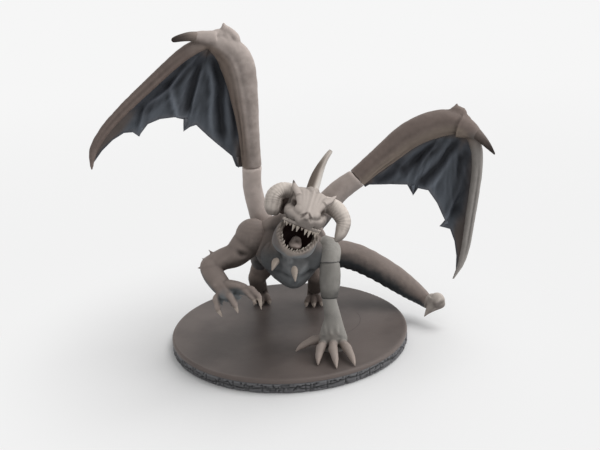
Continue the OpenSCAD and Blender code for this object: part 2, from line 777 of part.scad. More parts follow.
module right_wing_arm() { wing_arm(right_arm_line, right_wing_seam, right_wing_axis, right_knuckles); }
module left_wing_arm() { wing_arm(left_arm_line, left_wing_seam, left_wing_axis, left_knuckles); }

module wing_piece(line, arm_line, axis, knuckles) {
    color(warm_grey) on_base() sculpted() difference() {
        tube(line, up = [0, 1, 0], sides = 10, steps = 2);
        wing_arm_body(arm_line, axis, knuckles);
    }
}

module right_wing_finger() { wing_piece(right_finger_line, right_arm_line, right_wing_axis, right_knuckles); }
module left_wing_finger() { wing_piece(left_finger_line, left_arm_line, left_wing_axis, left_knuckles); }

module wing_thumb(thumb_line, finger_line, arm_line, axis, knuckles) {
    color(bone) on_base() sculpted() difference() {
        tube(thumb_line, up = [0, 1, 0], sides = 10);
        wing_arm_body(arm_line, axis, knuckles);
        tube(finger_line, up = [0, 1, 0], sides = 10, steps = 2);
    }
}

module right_wing_thumb() {
    wing_thumb(right_thumb_line, right_finger_line, right_arm_line, right_wing_axis, right_knuckles);
}

module left_wing_thumb() {
    wing_thumb(left_thumb_line, left_finger_line, left_arm_line, left_wing_axis, left_knuckles);
}

// Distance along a run of points to each of them
function distances(p) =
    [for (i = 0, d = 0; i < len(p); d = d + norm(xyz(clamp_index(p, i + 1)) - xyz(p[i])), i = i + 1) d];
// The point at share t of the run's length
function along(p, t) =
    let (d = distances(p), x = t * d[len(p) - 1], i = max([for (k = [0 : len(p) - 2]) if (d[k] <= x) k]),
        u = (x - d[i]) / (d[i + 1] - d[i]))
    xyz(p[i]) * (1 - u) + xyz(p[i + 1]) * u;

// The two skins of a grid of n columns and m rows, and the strips that close their four sides
function sheet_faces(n, m) =
    let (back = n * m, cells = [for (i = [0 : n - 2]) for (j = [0 : m - 2]) i * m + j], strip = concat(
        [for (i = [0 : n - 2]) [i * m, (i + 1) * m]],
        [for (i = [n - 1 : -1 : 1]) [i * m + m - 1, (i - 1) * m + m - 1]],
        [for (j = [0 : m - 2]) [(n - 1) * m + j, (n - 1) * m + j + 1]],
        [for (j = [m - 1 : -1 : 1]) [j, j - 1]]))
    concat(
        [for (c = cells) [c, c + m, c + m + 1]], [for (c = cells) [c, c + m + 1, c + 1]],
        [for (c = cells) [back + c, back + c + m + 1, back + c + m]],
        [for (c = cells) [back + c, back + c + 1, back + c + m + 1]],
        [for (e = strip) [e[0], back + e[0], back + e[1]]], [for (e = strip) [e[0], back + e[1], e[1]]]);

// The sail: a sheet cupped backwards between the frame (arm, then finger) and the trailing edge
module sail_sheet(frame, edge) {
    rows = 5;
    hand = frame[len(frame) - 1][0] > frame[0][0] ? 1 : -1;
    d = distances(edge);
    sheet = [for (side = [0, 1]) for (i = [0 : len(edge) - 1]) for (j = [0 : rows])
        let (s = d[i] / d[len(edge) - 1], a = along(frame, s), t = j / rows,
            cup = min(sail_cup, norm(edge[i] - a) / 8) * sin(180 * t))
        a * (1 - t) + edge[i] * t + [0, cup + (side - 0.5) * hand * sail_t * (1 - 0.4 * t), 0]];
    polyhedron(sheet, sheet_faces(len(edge), rows + 1), convexity = 10);
}

module wing_sail(arm_line, finger_line, edge, axis, knuckles) {
    tip = len(finger_line) - 1;
    frame = concat([for (i = [0 : len(arm_line) - 2]) arm_line[i]], [for (i = [1 : tip - 1]) finger_line[i]],
        [(finger_line[tip - 1] + finger_line[tip]) / 2]);
    color(slate) on_base() sculpted() difference() {
        sail_sheet(frame, edge);
        wing_arm_body(arm_line, axis, knuckles);
        tube(finger_line, up = [0, 1, 0], sides = 10, steps = 2);
        behind(xyz(arm_line[0]) + seam_gap * unit(axis), axis);
    }
}

module right_wing_sail() {
    wing_sail(right_arm_line, right_finger_line, right_edge, right_wing_axis, right_knuckles);
}

module left_wing_sail() {
    wing_sail(left_arm_line, left_finger_line, left_edge, left_wing_axis, left_knuckles);
}

// ---------- what is drawn ----------

base_disc();
base_band();
body_pins();
head_pins();
torso_belly();
torso_back();
throat_spikes();
neck();
skull();
lower_jaw();
tongue();
upper_teeth();
lower_teeth();
left_horn();
right_horn();
crest_horn();
left_upper_arm();
left_elbow_sleeve();
left_forearm_hand();
right_upper_arm();
right_forearm();
right_hand();
left_thigh();
left_shin();
left_foot();
right_thigh();
right_shin();
right_foot();
tail_root();
tail_middle();
tail_end();
tail_barb();
right_wing_stub();
right_wing_arm();
right_wing_finger();
right_wing_thumb();
right_wing_sail();
left_wing_stub();
left_wing_arm();
left_wing_finger();
left_wing_thumb();
left_wing_sail();
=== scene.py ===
"""Painted winged beast miniature: the sculpted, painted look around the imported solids.

Shapes are written in millimetres, as [x, y, height above the base's top face], and turned into metres when a
mesh is made. The beast faces -Y, and its own left is at +X. The head's pieces are written in the head's own
frame: origin between the eyes, -Y out of the snout, +Z up through the crown.
"""

import json
import math

import bpy
import numpy as np
from mathutils import Matrix, Vector
from mathutils.bvhtree import BVHTree

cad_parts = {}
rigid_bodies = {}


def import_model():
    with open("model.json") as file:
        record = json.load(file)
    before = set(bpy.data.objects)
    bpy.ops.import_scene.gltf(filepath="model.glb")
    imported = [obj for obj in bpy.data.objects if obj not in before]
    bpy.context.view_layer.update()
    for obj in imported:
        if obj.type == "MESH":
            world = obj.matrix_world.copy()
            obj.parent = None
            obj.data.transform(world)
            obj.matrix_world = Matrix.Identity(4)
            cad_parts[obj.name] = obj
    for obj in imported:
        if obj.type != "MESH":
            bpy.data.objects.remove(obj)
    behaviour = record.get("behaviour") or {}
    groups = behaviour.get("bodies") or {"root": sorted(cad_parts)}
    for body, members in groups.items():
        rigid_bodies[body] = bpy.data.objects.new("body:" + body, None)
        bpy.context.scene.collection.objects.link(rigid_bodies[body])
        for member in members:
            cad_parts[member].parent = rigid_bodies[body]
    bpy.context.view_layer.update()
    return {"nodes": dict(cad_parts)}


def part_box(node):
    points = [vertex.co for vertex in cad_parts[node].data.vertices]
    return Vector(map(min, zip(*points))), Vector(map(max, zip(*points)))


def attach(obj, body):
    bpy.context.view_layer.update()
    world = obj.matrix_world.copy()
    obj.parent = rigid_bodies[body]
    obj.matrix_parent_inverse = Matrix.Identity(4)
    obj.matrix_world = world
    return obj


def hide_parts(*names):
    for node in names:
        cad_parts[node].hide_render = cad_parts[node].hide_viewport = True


bl_info = {
    "name": "Winged beast miniature",
    "version": (1, 0, 0),
    "blender": (4, 5, 0),
    "location": "3D View > Sidebar > Miniature",
    "description": "Sculpts, paints and stages a winged beast miniature on its round base",
    "category": "Object",
}

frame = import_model()

MM = 0.001
BASE_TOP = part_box("base_disc")[1].z / MM
BASE_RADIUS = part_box("base_band")[1].x / MM
BAND_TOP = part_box("base_band")[1].z / MM

# ---------- the photograph's frame and its named points ----------

FRAME_W, FRAME_H = 600, 450
CAMERA_AT = Vector((6.408, -327.760, 151.435)) * MM
CAMERA_AIM = Vector((6.408, 0.0, 50.110)) * MM
CAMERA_ROLL = math.radians(-2.633)
CAMERA_LENS = 50.0
CAMERA_SENSOR = 36.0
CAMERA_SHIFT = (0.0, 0.0)

IMAGE_POINTS = {
    "crest_tip": (331.0, 151.5),
    "right_thumb_tip": (172.5, 39.5),
    "left_thumb_tip": (494.5, 154.5),
    "right_wing_tip": (88.5, 170.5),
    "left_wing_tip": (453.0, 279.0),
    "left_nostril": (309.5, 214.5),
    "right_nostril": (303.0, 212.5),
    "right_throat_spike": (272.5, 269.0),
    "left_throat_spike": (295.5, 279.0),
    "tail_blade_point": (424.0, 317.0),
    "right_middle_claw": (238.5, 314.5),
    "left_middle_claw": (337.0, 367.5),
}

# ---------- skeleton: the part's own stations, a little fuller where the sculpture is ----------

HEAD_AT = np.array([9.4, -26.0, 59.0])
HEAD_ROLL = math.radians(23)
HEAD_PITCH = math.radians(8)
HEAD_AXIS = np.array([0.0, -math.cos(HEAD_PITCH), math.sin(HEAD_PITCH)])
NECK_SEAM = HEAD_AT - 5.5 * HEAD_AXIS
HEAD = np.array(Matrix.Translation(Vector(HEAD_AT)) @ Matrix.Rotation(-HEAD_PITCH, 4, "X")
                @ Matrix.Rotation(HEAD_ROLL, 4, "Y"))
SEAM_GAP = 0.12

TORSO = [[1.5, 28, 29.5, 3, 3], [1, 23, 30, 9, 8], [0.5, 15, 31, 11, 10], [0.5, 6, 32.5, 11, 10.5],
         [1.5, -3, 35, 14, 13.5], [2.5, -10, 36.5, 14.5, 15], [3.5, -16, 38, 12, 13], [4, -21, 40, 7, 8.5]]
NECK = [[4, -11, 43, 7.4, 7.4], [5.6, -14.5, 49, 7.6, 7.6], [8.2, -17.8, 55.8, 6.8, 7],
        [*(NECK_SEAM + 1.5 * HEAD_AXIS), 6.2, 6.4]]
LEFT_SHOULDER = [[9, -6, 37, 6, 6.4], [14.5, -9.5, 36.8, 5.8, 6], [17.6, -15, 38, 4.6, 4.7],
                 [17.5, -18, 37.3, 4.4, 4.4], [17.3, -19, 34.6, 4.1, 4.1]]
LEFT_SLEEVE = [[17.3, -19, 34.6, 3.9, 3.9], [17.3, -20.6, 29.5, 4.2, 4.2], [17, -22, 25, 3.9, 3.9],
               [16.5, -23, 21, 3.2, 3.2]]
LEFT_RING_AXIS = [0.02, 0.25, 0.97]
LEFT_CUFF_AXIS = [0.01, 0.2, 0.98]
LEFT_FOREARM = [[16.5, -22.6, 23, 2.7, 2.7], [16.5, -23, 21, 2.8, 2.7], [17.1, -23.6, 17, 3, 2.9],
                [17.7, -24, 12.9, 3.4, 3.1], [17.5, -24.8, 8, 4.9, 3.2], [17.4, -25.4, 4.4, 5.8, 3.2],
                [17.4, -26, -0.3, 4.8, 3]]
LEFT_DIGITS = [
    [[13.6, -27, 3.8], [12.2, -32, 3.7], [11.2, -36.4, 2.3], [10.8, -39.8, 0.35]],
    [[17.4, -27.6, 4], [17, -33.4, 3.8], [17.5, -38.8, 2.4], [17.8, -43.2, 0.35]],
    [[20.8, -26.8, 3.8], [22.4, -32.2, 3.6], [23.9, -37.6, 2.3], [24.9, -41.6, 0.35]],
    [[14.4, -25, 5], [9.8, -24.8, 4], [5.6, -26, 2.6], [2.2, -27.4, 0.6]],
]
RIGHT_ARM = [[-5, -4, 40, 6, 6.4], [-10.8, -6.4, 42, 6.9, 7], [-14.8, -8.4, 40.8, 6.2, 6.3],
             [-20, -10.4, 36.6, 5.1, 5.1], [-25.4, -12, 35.2, 4.4, 4.4], [-30.2, -14.2, 33.2, 4.3, 4.3]]
RIGHT_FOREARM = [[-30.2, -14.2, 33.2, 4.3, 4.3], [-28.7, -17, 30.6, 4.3, 4], [-26.5, -19.6, 28.2, 4.2, 3.7],
                 [-24.6, -21.5, 26.3, 4, 3.1], [-22.6, -23.4, 25.4, 4.8, 2.4], [-20.4, -25, 24.9, 4.2, 1.8]]
RIGHT_DIGITS = [
    [[-25.4, -23, 26], [-27.6, -25.8, 24], [-27, -28.2, 20.6], [-25.3, -29, 17.2]],
    [[-22.4, -24, 25.8], [-21.8, -27.4, 25.2], [-19.9, -30.2, 22.4], [-18.8, -31, 19.2]],
    [[-20.2, -23.8, 26], [-15.6, -26, 26.6], [-13, -28.2, 24.4], [-11.8, -28.6, 22]],
    [[-19.9, -23.7, 26.3], [-13.9, -25.6, 27.3], [-10.6, -28.5, 25.2], [-10, -30, 20]],
]
LEFT_DIGIT_RADIUS, RIGHT_DIGIT_RADIUS, TOE_RADIUS = 1.85, 1.4, 1.7
LEGS = {
    "left": ([8, 17, 28], [12.5, 9.5, 17.5], [11, 25, 6]),
    "right": ([-6.5, 18, 28], [-13.4, 12, 18], [-12.4, 29.5, 6]),
}
TAIL_ROOT = [[2, 19, 27, 6.4, 6.4], [8, 25, 26.4, 7, 7], [15, 26.4, 24.6, 6.7, 6.7],
             [22.4, 25, 22.9, 6.1, 6.1]]
TAIL = [[15, 26.4, 24.6, 6.6, 6.6], [22.4, 25, 22.9, 6.1, 6.1], [30.8, 24.2, 20.6, 6, 6],
        [39.5, 22.2, 16.4, 5.8, 5.8], [48.1, 19.5, 11.2, 5.4, 5.4], [54.2, 15.8, 7.5, 4.6, 4.6],
        [58.3, 11.8, 5.2, 3.6, 3.6], [60.9, 8, 3.8, 2.7, 2.7]]

RIGHT_WING_SEAM = np.array([-12, 3, 69.6])
RIGHT_WING_AXIS = [0.01, -0.13, 0.99]
RIGHT_STUB = [[-4, 3, 40.6, 4.6, 4.6], [-8.2, 1.4, 45, 4.7, 4.7], [-11, 3.2, 53.1, 4.1, 4.1],
              [-12.4, 4, 61.4, 3.9, 3.9], [-12, 3, 69.6, 4, 4]]
RIGHT_WING_ARM = [[-12, 3, 69.6, 4, 4], [-12.2, 1.7, 78, 4.1, 4.2], [-12.4, 0.6, 86, 4.4, 4.3],
                  [-12.7, -0.4, 93, 5, 4.4], [-13.2, -1.4, 99.5, 5.6, 4.5], [-13.7, -2.2, 105, 6.1, 4.5],
                  [-14.6, -3, 110, 6.6, 4.5], [-16.2, -4, 114.2, 6.4, 4.4], [-19.6, -5, 118, 5, 4.1],
                  [-23.5, -6.5, 120.6, 3.6, 3.4], [-26.9, -7.5, 120.8, 2.6, 2.4]]
RIGHT_FINGER = [[-23.5, -6.9, 120.6, 2.6, 2.4], [-26.4, -7.4, 120.4, 2.6, 2.4], [-33.8, -9, 116.9, 2.6, 2.1],
                [-40.7, -11, 111.9, 2.4, 2], [-48.1, -13, 105.8, 2.3, 1.9], [-56.6, -16, 98.7, 2.1, 1.8],
                [-64.3, -19, 91.3, 1.9, 1.6], [-69.2, -21.5, 84.1, 1.6, 1.3], [-70.2, -24, 77.1, 0.35, 0.35]]
RIGHT_THUMB = [[-22.6, -7, 121.2, 2.6, 2.4], [-27.5, -9, 122.3, 2.2, 2], [-31, -10.8, 123, 1.8, 1.7],
               [-34.4, -12.6, 122.8, 1.4, 1.3], [-36.9, -14, 122.3, 1, 0.9], [-37.7, -14.4, 122.1, 0.4, 0.4]]
RIGHT_KNUCKLES = [[[-18.3, -5, 120], [-18.9, -5, 127.2], 3.2], [[-15, -4.4, 117], [-15.2, -4.5, 124.4], 2.8]]
RIGHT_WRIST_RIDGE = [[-27.5, -8.6, 121.6, 2, 2.1], [-23.4, -6.6, 122.2, 2.3, 2.4], [-20, -5.4, 123, 2.2, 2.2],
                     [-18.4, -5, 124.2, 1.5, 1.5]]
RIGHT_EDGE = [[-15.6, 2.6, 68.2], [-18.4, 2, 70.1], [-19.6, 1, 74.5], [-24.1, 0, 79], [-28.4, -1, 83.5],
              [-32.6, -2.5, 88.4], [-34.9, -3.5, 87.9], [-37.3, -4.5, 86.6], [-36.4, -4.6, 91],
              [-39.7, -6, 92.5], [-45.6, -8, 92.3], [-50.1, -10, 90.9], [-53.6, -12, 86.8],
              [-55.5, -13, 88.6], [-58.7, -14.5, 88.7], [-62.6, -17, 86.7], [-66.5, -20, 83.3],
              [-69.2, -22.6, 79.8]]

LEFT_WING_SEAM = np.array([31, 9.5, 60.9])
LEFT_WING_AXIS = [0.77, 0.12, 0.62]
LEFT_STUB = [[7, 6, 40.6, 4.8, 4.6], [13.2, 5.6, 45, 4.9, 4.7], [18.6, 7, 51.6, 4.9, 4.6],
             [24, 8.3, 56.6, 4.6, 4.4], [31, 9.5, 60.9, 4.2, 4.2]]
LEFT_WING_ARM = [[31, 9.5, 60.9, 4.2, 4.2], [37.4, 10, 66, 4.4, 4.4], [44.2, 10.5, 71.1, 5, 4.8],
                 [50.9, 10.5, 76.3, 5.5, 5], [57.4, 10, 80, 5.7, 5.1], [64.3, 9.5, 82.1, 5.7, 5],
                 [70.7, 8.5, 82.6, 5, 4.8], [75.7, 7, 80.4, 3.8, 3.8], [77.4, 6.2, 77.6, 2.8, 2.8]]
LEFT_FINGER = [[76.5, 6.4, 81, 2.8, 2.6], [78, 6, 78.4, 2.8, 2.6], [79.8, 4.5, 70.8, 2.4, 2.3],
               [79.5, 2.5, 62.9, 2.2, 2.1], [77.9, 0, 53.9, 2.1, 2], [75.8, -3, 44.2, 2, 1.9],
               [73.5, -7, 34.9, 1.8, 1.7], [71, -10, 28.3, 1.3, 1.2], [67.4, -12, 22.3, 0.35, 0.35]]
LEFT_WRIST_RIDGE = [[66, 9, 84, 2.4, 2.4], [69.6, 8.6, 86, 2.2, 2.2], [73, 8, 86, 2, 2],
                    [76, 7, 83, 2.2, 2.2]]
LEFT_THUMB = [[73.4, 7, 81.4, 3.8, 3.6], [77.2, 5, 79.8, 3, 2.8], [80.8, 3, 77, 2, 2],
              [83.6, 1.4, 73.8, 1.3, 1.3], [86.1, 0, 70.4, 0.35, 0.35]]
LEFT_KNUCKLES = [[[70.6, 8.6, 83], [72.3, 9, 90.4], 3], [[73, 8, 82.4], [75.4, 8.3, 88.6], 2.4]]
LEFT_EDGE = [[33.6, 9.4, 56.6], [36, 9, 58], [40.5, 8.5, 57.9], [46.2, 7.5, 58.1], [51.5, 6.5, 57.9],
             [53.8, 5.5, 53.6], [55.8, 5, 56.4], [59.8, 4, 55.8], [63.3, 2.5, 50.5], [66.3, 0.5, 43.2],
             [64, -0.5, 41.5], [68, -1.5, 40.3], [69.4, -4, 35.8], [69.6, -7.5, 30.5], [68.8, -10.6, 26]]

# Hooks on each trailing edge, from inside the sail to the point
RIGHT_HOOKS = [([-36.2, -4.4, 91.5], [-37.4, -4.6, 86.4]), ([-52.6, -11.4, 90], [-53.6, -12.2, 86.6]),
               ([-17.6, 2, 74], [-17.4, 2.4, 69.2])]
LEFT_HOOKS = [([53.8, 5.9, 57.6], [53.8, 5.4, 53.4]), ([67.2, 0, 43], [63.8, -0.6, 41.4])]

# Folds of each sail, as [x, height] lines with a width and a depth: deep ones sink, raised ones are the ribs
RIGHT_FOLDS = [
    ([(-30.5, 115), (-39.5, 106.9), (-46.6, 102.4), (-55.5, 93.9)], 2.4, 1.6),
    ([(-29.9, 114.9), (-37, 108.3), (-40.6, 102.7), (-39.4, 94.1), (-37.3, 87.5)], 1.1, -1.2),
    ([(-35.7, 109.5), (-43.1, 102.3), (-50.3, 97.4), (-53.4, 87.4)], 1.1, -1.2),
    ([(-28.4, 113.7), (-33.9, 101.5), (-35.8, 92.2)], 1.5, 1.5),
    ([(-28.2, 111.4), (-31.5, 101.3), (-35.2, 89.2)], 0.9, -0.9),
    ([(-24, 113.3), (-21.8, 103.3), (-22.9, 94.4), (-22.8, 79.8)], 1.6, 1.6),
    ([(-25.7, 111.1), (-25.1, 101.5), (-26.6, 91.8), (-26.8, 83.4)], 1.2, -1.0),
    ([(-22.6, 112.4), (-18.6, 103.2), (-17.4, 91.2), (-17.2, 77.6)], 1.4, 1.1),
    ([(-20.6, 112.4), (-16.8, 100), (-16, 88), (-18.4, 71)], 1.2, -0.8),
]
LEFT_FOLDS = [
    ([(64.5, 72.8), (56.3, 67.7), (48, 61.8)], 1.8, 1.4),
    ([(72.1, 74.3), (65.9, 65.6), (58.9, 59.6), (55.1, 56.4)], 1.5, 1.7),
    ([(76, 71.9), (74.3, 64.7), (73.6, 56.8), (71.3, 47.3), (69.7, 43.1)], 2.0, 1.9),
    ([(65.3, 73.2), (58.8, 67.6), (53.8, 55)], 1.1, -1.2),
    ([(75.5, 68), (72.6, 54.2), (64.6, 41.8)], 1.2, -1.3),
    ([(71.1, 71.7), (64.7, 60.7), (60.6, 56.6)], 1.2, -0.8),
    ([(49.8, 66.5), (43.9, 61.7), (37.2, 59)], 1.5, 1.0),
]


def srgb(red, green, blue):
    """A scene-linear colour from the screen values it is seen at."""
    return tuple(((v / 255 + 0.055) / 1.055) ** 2.4 if v > 10 else v / 255 / 12.92
                 for v in (red, green, blue))


# ---------- curves and closed shapes ----------

def unit(v):
    """The vector at length 1."""
    v = np.asarray(v, float)
    return v / np.linalg.norm(v)


def smooth_run(stations, steps):
    """A smooth run through stations, with that many rows from each one to the next."""
    s = np.asarray(stations, float)
    p = np.vstack([s[:1], s, s[-1:]])
    t = (np.arange(steps) / steps)[:, None]
    rows = [0.5 * (2 * b + (c - a) * t + (2 * a - 5 * b + 4 * c - d) * t ** 2
                   + (3 * b - a - 3 * c + d) * t ** 3)
            for a, b, c, d in zip(p, p[1:], p[2:], p[3:])]
    return np.vstack(rows + [s[-1:]])


def swept(stations, up=(0, 0, 1), sides=32, steps=8, pinch=0.0, first=None, last=None, swell=None):
    """Points and faces of a closed tube through [x, y, z, half width, half height] stations.

    swell(share, angle) gives a factor on the radius, for ribs and grooves along the tube.
    """
    run = smooth_run(stations, steps)
    ahead = np.vstack([run[1:], run[-1:]])[:, :3] - np.vstack([run[:1], run[:-1]])[:, :3]
    if first is not None:
        ahead[0] = first
    if last is not None:
        ahead[-1] = last
    ahead /= np.linalg.norm(ahead, axis=1)[:, None]
    side = np.cross(ahead, up)
    side /= np.linalg.norm(side, axis=1)[:, None]
    top = np.cross(side, ahead)
    angle = 2 * math.pi * np.arange(sides) / sides
    wide = run[:, 3, None] * np.cos(angle) * (1 + pinch * np.minimum(0, np.sin(angle)))
    high = run[:, 4, None] * np.sin(angle)
    if swell is not None:
        factor = swell(np.linspace(0, 1, len(run))[:, None], angle[None, :])
        wide, high = wide * factor, high * factor
    rings = run[:, None, :3] + side[:, None] * wide[..., None] + top[:, None] * high[..., None]
    points = rings.reshape(-1, 3)
    rows, n = len(run), sides
    k = np.arange(n)
    faces = []
    for i in range(rows - 1):
        a, b = i * n + k, i * n + (k + 1) % n
        faces += np.stack([a, b, b + n, a + n], 1).tolist()
    faces += [list(range(n - 1, -1, -1)), list(range((rows - 1) * n, rows * n))]
    return points, faces


def ball(centre, radii, turn=(0, 0, 0)):
    """Points and faces of an ellipsoid, turned by Euler angles in degrees."""
    sides = 24
    lat = np.linspace(-math.pi / 2, math.pi / 2, sides // 2 + 1)[1:-1]
    lon = 2 * math.pi * np.arange(sides) / sides
    body = np.stack([np.outer(np.cos(lat), np.cos(lon)), np.outer(np.cos(lat), np.sin(lon)),
                     np.outer(np.sin(lat), np.ones(sides))], -1).reshape(-1, 3)
    points = np.vstack([body, [[0, 0, -1], [0, 0, 1]]]) * radii
    spin = np.array(Matrix.Rotation(math.radians(turn[2]), 3, "Z")
                    @ Matrix.Rotation(math.radians(turn[1]), 3, "Y")
                    @ Matrix.Rotation(math.radians(turn[0]), 3, "X"))
    rows, k, faces = len(lat), np.arange(sides), []
    for i in range(rows - 1):
        a, b = i * sides + k, i * sides + (k + 1) % sides
        faces += np.stack([a, b, b + sides, a + sides], 1).tolist()
    low, high = rows * sides, rows * sides + 1
    faces += [[low, (i + 1) % sides, i] for i in range(sides)]
    faces += [[high, (rows - 1) * sides + i, (rows - 1) * sides + (i + 1) % sides] for i in range(sides)]
    return points @ spin.T + centre, faces


def volume(points, faces):
    """The signed volume inside closed faces, negative where they look inward."""
    corners = np.array([[f[0], f[i], f[i + 1]] for f in faces for i in range(1, len(f) - 1)])
    a, b, c = (np.asarray(points)[corners[:, i]] for i in range(3))
    return (np.cross(a, b) * c).sum() / 6


class Clay:
    """Closed shapes in figure millimetres, pressed together before they are fused into one piece."""

    def __init__(self, place=None):
        self.place, self.points, self.faces, self.count = place, [], [], 0

    def add(self, points, faces):
        if self.place is not None:
            points = points @ self.place[:3, :3].T + self.place[:3, 3]
        if volume(points, faces) < 0:
            faces = [face[::-1] for face in faces]
        self.points.append(points)
        self.faces += [[i + self.count for i in face] for face in faces]
        self.count += len(points)
        return self

    def tube(self, stations, **how):
        return self.add(*swept(stations, **how))

    def ball(self, centre, radii, turn=(0, 0, 0)):
        return self.add(*ball(centre, radii, turn))

    def spike(self, root, tip, radius, bend=(0, 0, 0)):
        """A curved cone from root to tip."""
        root, tip = np.asarray(root, float), np.asarray(tip, float)
        middle = (root + tip) / 2 + bend
        up = (0, 1, 0) if abs(unit(tip - root)[2]) > 0.8 else (0, 0, 1)
        return self.tube([[*root, radius, radius], [*middle, radius * 0.62, radius * 0.62],
                          [*tip, radius * 0.1, radius * 0.1]], up=up, sides=16, steps=6)

    def digit(self, joints, radius):
        """A finger through its knuckles, with a swelling at each, that ends in a claw."""
        root, knuckle, middle, tip = (np.asarray(j, float) for j in joints)
        return self.tube([[*root, radius, radius],
                          [*(0.5 * root + 0.5 * knuckle), radius * 0.92, radius * 0.92],
                          [*knuckle, radius, radius * 1.04],
                          [*(0.5 * knuckle + 0.5 * middle + [0, 0, 0.15]), radius * 0.84, radius * 0.84],
                          [*middle, radius * 0.7, radius * 0.74],
                          [*(0.45 * middle + 0.55 * tip + [0, 0, 0.25]), radius * 0.42, radius * 0.46],
                          [*tip, 0.16, 0.16]], up=(0.3, 0.2, 1), sides=20, steps=5)

    def piece(self, name):
        """The shapes as one object, in metres."""
        points = np.vstack(self.points)
        mesh = bpy.data.meshes.new(name)
        mesh.from_pydata(((points + [0, 0, BASE_TOP]) * MM).tolist(), [], self.faces)
        mesh.validate()
        item = bpy.data.objects.new(name, mesh)
        bpy.context.scene.collection.objects.link(item)
        return item


def settle(item):
    """Makes the result of an object's modifiers its mesh."""
    graph = bpy.context.evaluated_depsgraph_get()
    mesh = bpy.data.meshes.new_from_object(item.evaluated_get(graph))
    item.modifiers.clear()
    old, item.data = item.data, mesh
    bpy.data.meshes.remove(old)
    mesh.name = item.name
    return item


def surface_tree(item):
    """A search tree of an object's surface."""
    return BVHTree.FromPolygons([v.co for v in item.data.vertices], [p.vertices for p in item.data.polygons])


def hollow(item, tool):
    """Cuts the tool's shape out of an object, and returns the surface of the cut to find its walls by."""
    cut = item.modifiers.new("cut", "BOOLEAN")
    cut.operation, cut.solver, cut.object = "DIFFERENCE", "EXACT", tool
    settle(item)
    walls = surface_tree(tool)
    bpy.data.objects.remove(tool)
    return walls


def close_to(walls, points, near, far):
    """1 where points are nearer to a surface than near, falling to 0 at far."""
    hits = (walls.find_nearest(p, far * MM) for p in ((points + [0, 0, BASE_TOP]) * MM).tolist())
    return step(far, near, np.array([far if hit[0] is None else hit[3] / MM for hit in hits]))


def points_of(item):
    """An object's points in figure millimetres."""
    co = np.empty(len(item.data.vertices) * 3, np.float32)
    item.data.vertices.foreach_get("co", co)
    return co.reshape(-1, 3).astype(float) / MM - [0, 0, BASE_TOP]


def set_points(item, points):
    """Moves the vertices to places on the figure, in millimetres."""
    item.data.vertices.foreach_set("co", ((points + [0, 0, BASE_TOP]) * MM).astype(np.float32).ravel())
    item.data.update()


def normals_of(item):
    """The vertices' normals."""
    out = np.empty(len(item.data.vertices) * 3, np.float32)
    item.data.vertex_normals.foreach_get("vector", out)
    return out.reshape(-1, 3).astype(float)


def edges_of(item):
    """The two vertices of each edge."""
    out = np.empty(len(item.data.edges) * 2, np.int32)
    item.data.edges.foreach_get("vertices", out)
    return out.reshape(-1, 2)


def largest_only(item):
    """Drops the loose islands that fusing leaves inside a piece."""
    edges, n = edges_of(item), len(item.data.vertices)
    label = np.arange(n)
    while True:
        low = np.minimum(label[edges[:, 0]], label[edges[:, 1]])
        new = label.copy()
        np.minimum.at(new, edges[:, 0], low)
        np.minimum.at(new, edges[:, 1], low)
        new = new[new]
        if (new == label).all():
            break
        label = new
    names, sizes = np.unique(label, return_counts=True)
    if len(names) == 1:
        return item
    keep = label == names[sizes.argmax()]
    mesh = item.data
    polys = [p.vertices[:] for p in mesh.polygons]
    where = np.cumsum(keep) - 1
    co = np.empty(n * 3, np.float32)
    mesh.vertices.foreach_get("co", co)
    fresh = bpy.data.meshes.new(item.name)
    fresh.from_pydata(co.reshape(-1, 3)[keep].tolist(), [],
                      [where[list(p)].tolist() for p in polys if keep[p[0]]])
    item.data = fresh
    bpy.data.meshes.remove(mesh)
    fresh.name = item.name
    return item


def fuse(item, voxel, relax):
    """Remeshes overlapping shapes into one skin and softens the joins between them."""
    remesh = item.modifiers.new("fuse", "REMESH")
    remesh.mode, remesh.voxel_size = "VOXEL", voxel * MM
    soften = item.modifiers.new("soften", "SMOOTH")
    soften.factor, soften.iterations = 0.5, relax
    settle(item)
    return largest_only(item)


def shade_smooth(item):
    item.data.polygons.foreach_set("use_smooth", np.ones(len(item.data.polygons), bool))
    item.data.update()
    return item


# ---------- sculpting ----------

def along(points, line):
    """For each point, its distance to a line of points and the share of the line where it is nearest."""
    line = np.asarray(line, float)
    lengths = np.linalg.norm(np.diff(line, axis=0), axis=1)
    start = np.concatenate([[0], np.cumsum(lengths)])
    near, share = np.full(len(points), 1e9), np.zeros(len(points))
    for i, (a, b) in enumerate(zip(line[:-1], line[1:])):
        ab = b - a
        t = np.clip((points - a) @ ab / (ab @ ab), 0, 1)
        d = np.linalg.norm(points - a - t[:, None] * ab, axis=1)
        closer = d < near
        near[closer] = d[closer]
        share[closer] = (start[i] + t[closer] * lengths[i]) / start[-1]
    return near, share


def spot(line, share):
    """The places at shares of a line's length."""
    line = np.asarray(line, float)[:, :3]
    run = np.concatenate([[0], np.cumsum(np.linalg.norm(np.diff(line, axis=0), axis=1))])
    return np.stack([np.interp(share * run[-1], run, line[:, c]) for c in range(3)], 1)


def in_frame(line, place):
    """Points written in a frame such as the head's, in figure millimetres."""
    line = np.asarray(line, float)
    return line if place is None else line @ place[:3, :3].T + place[:3, 3]


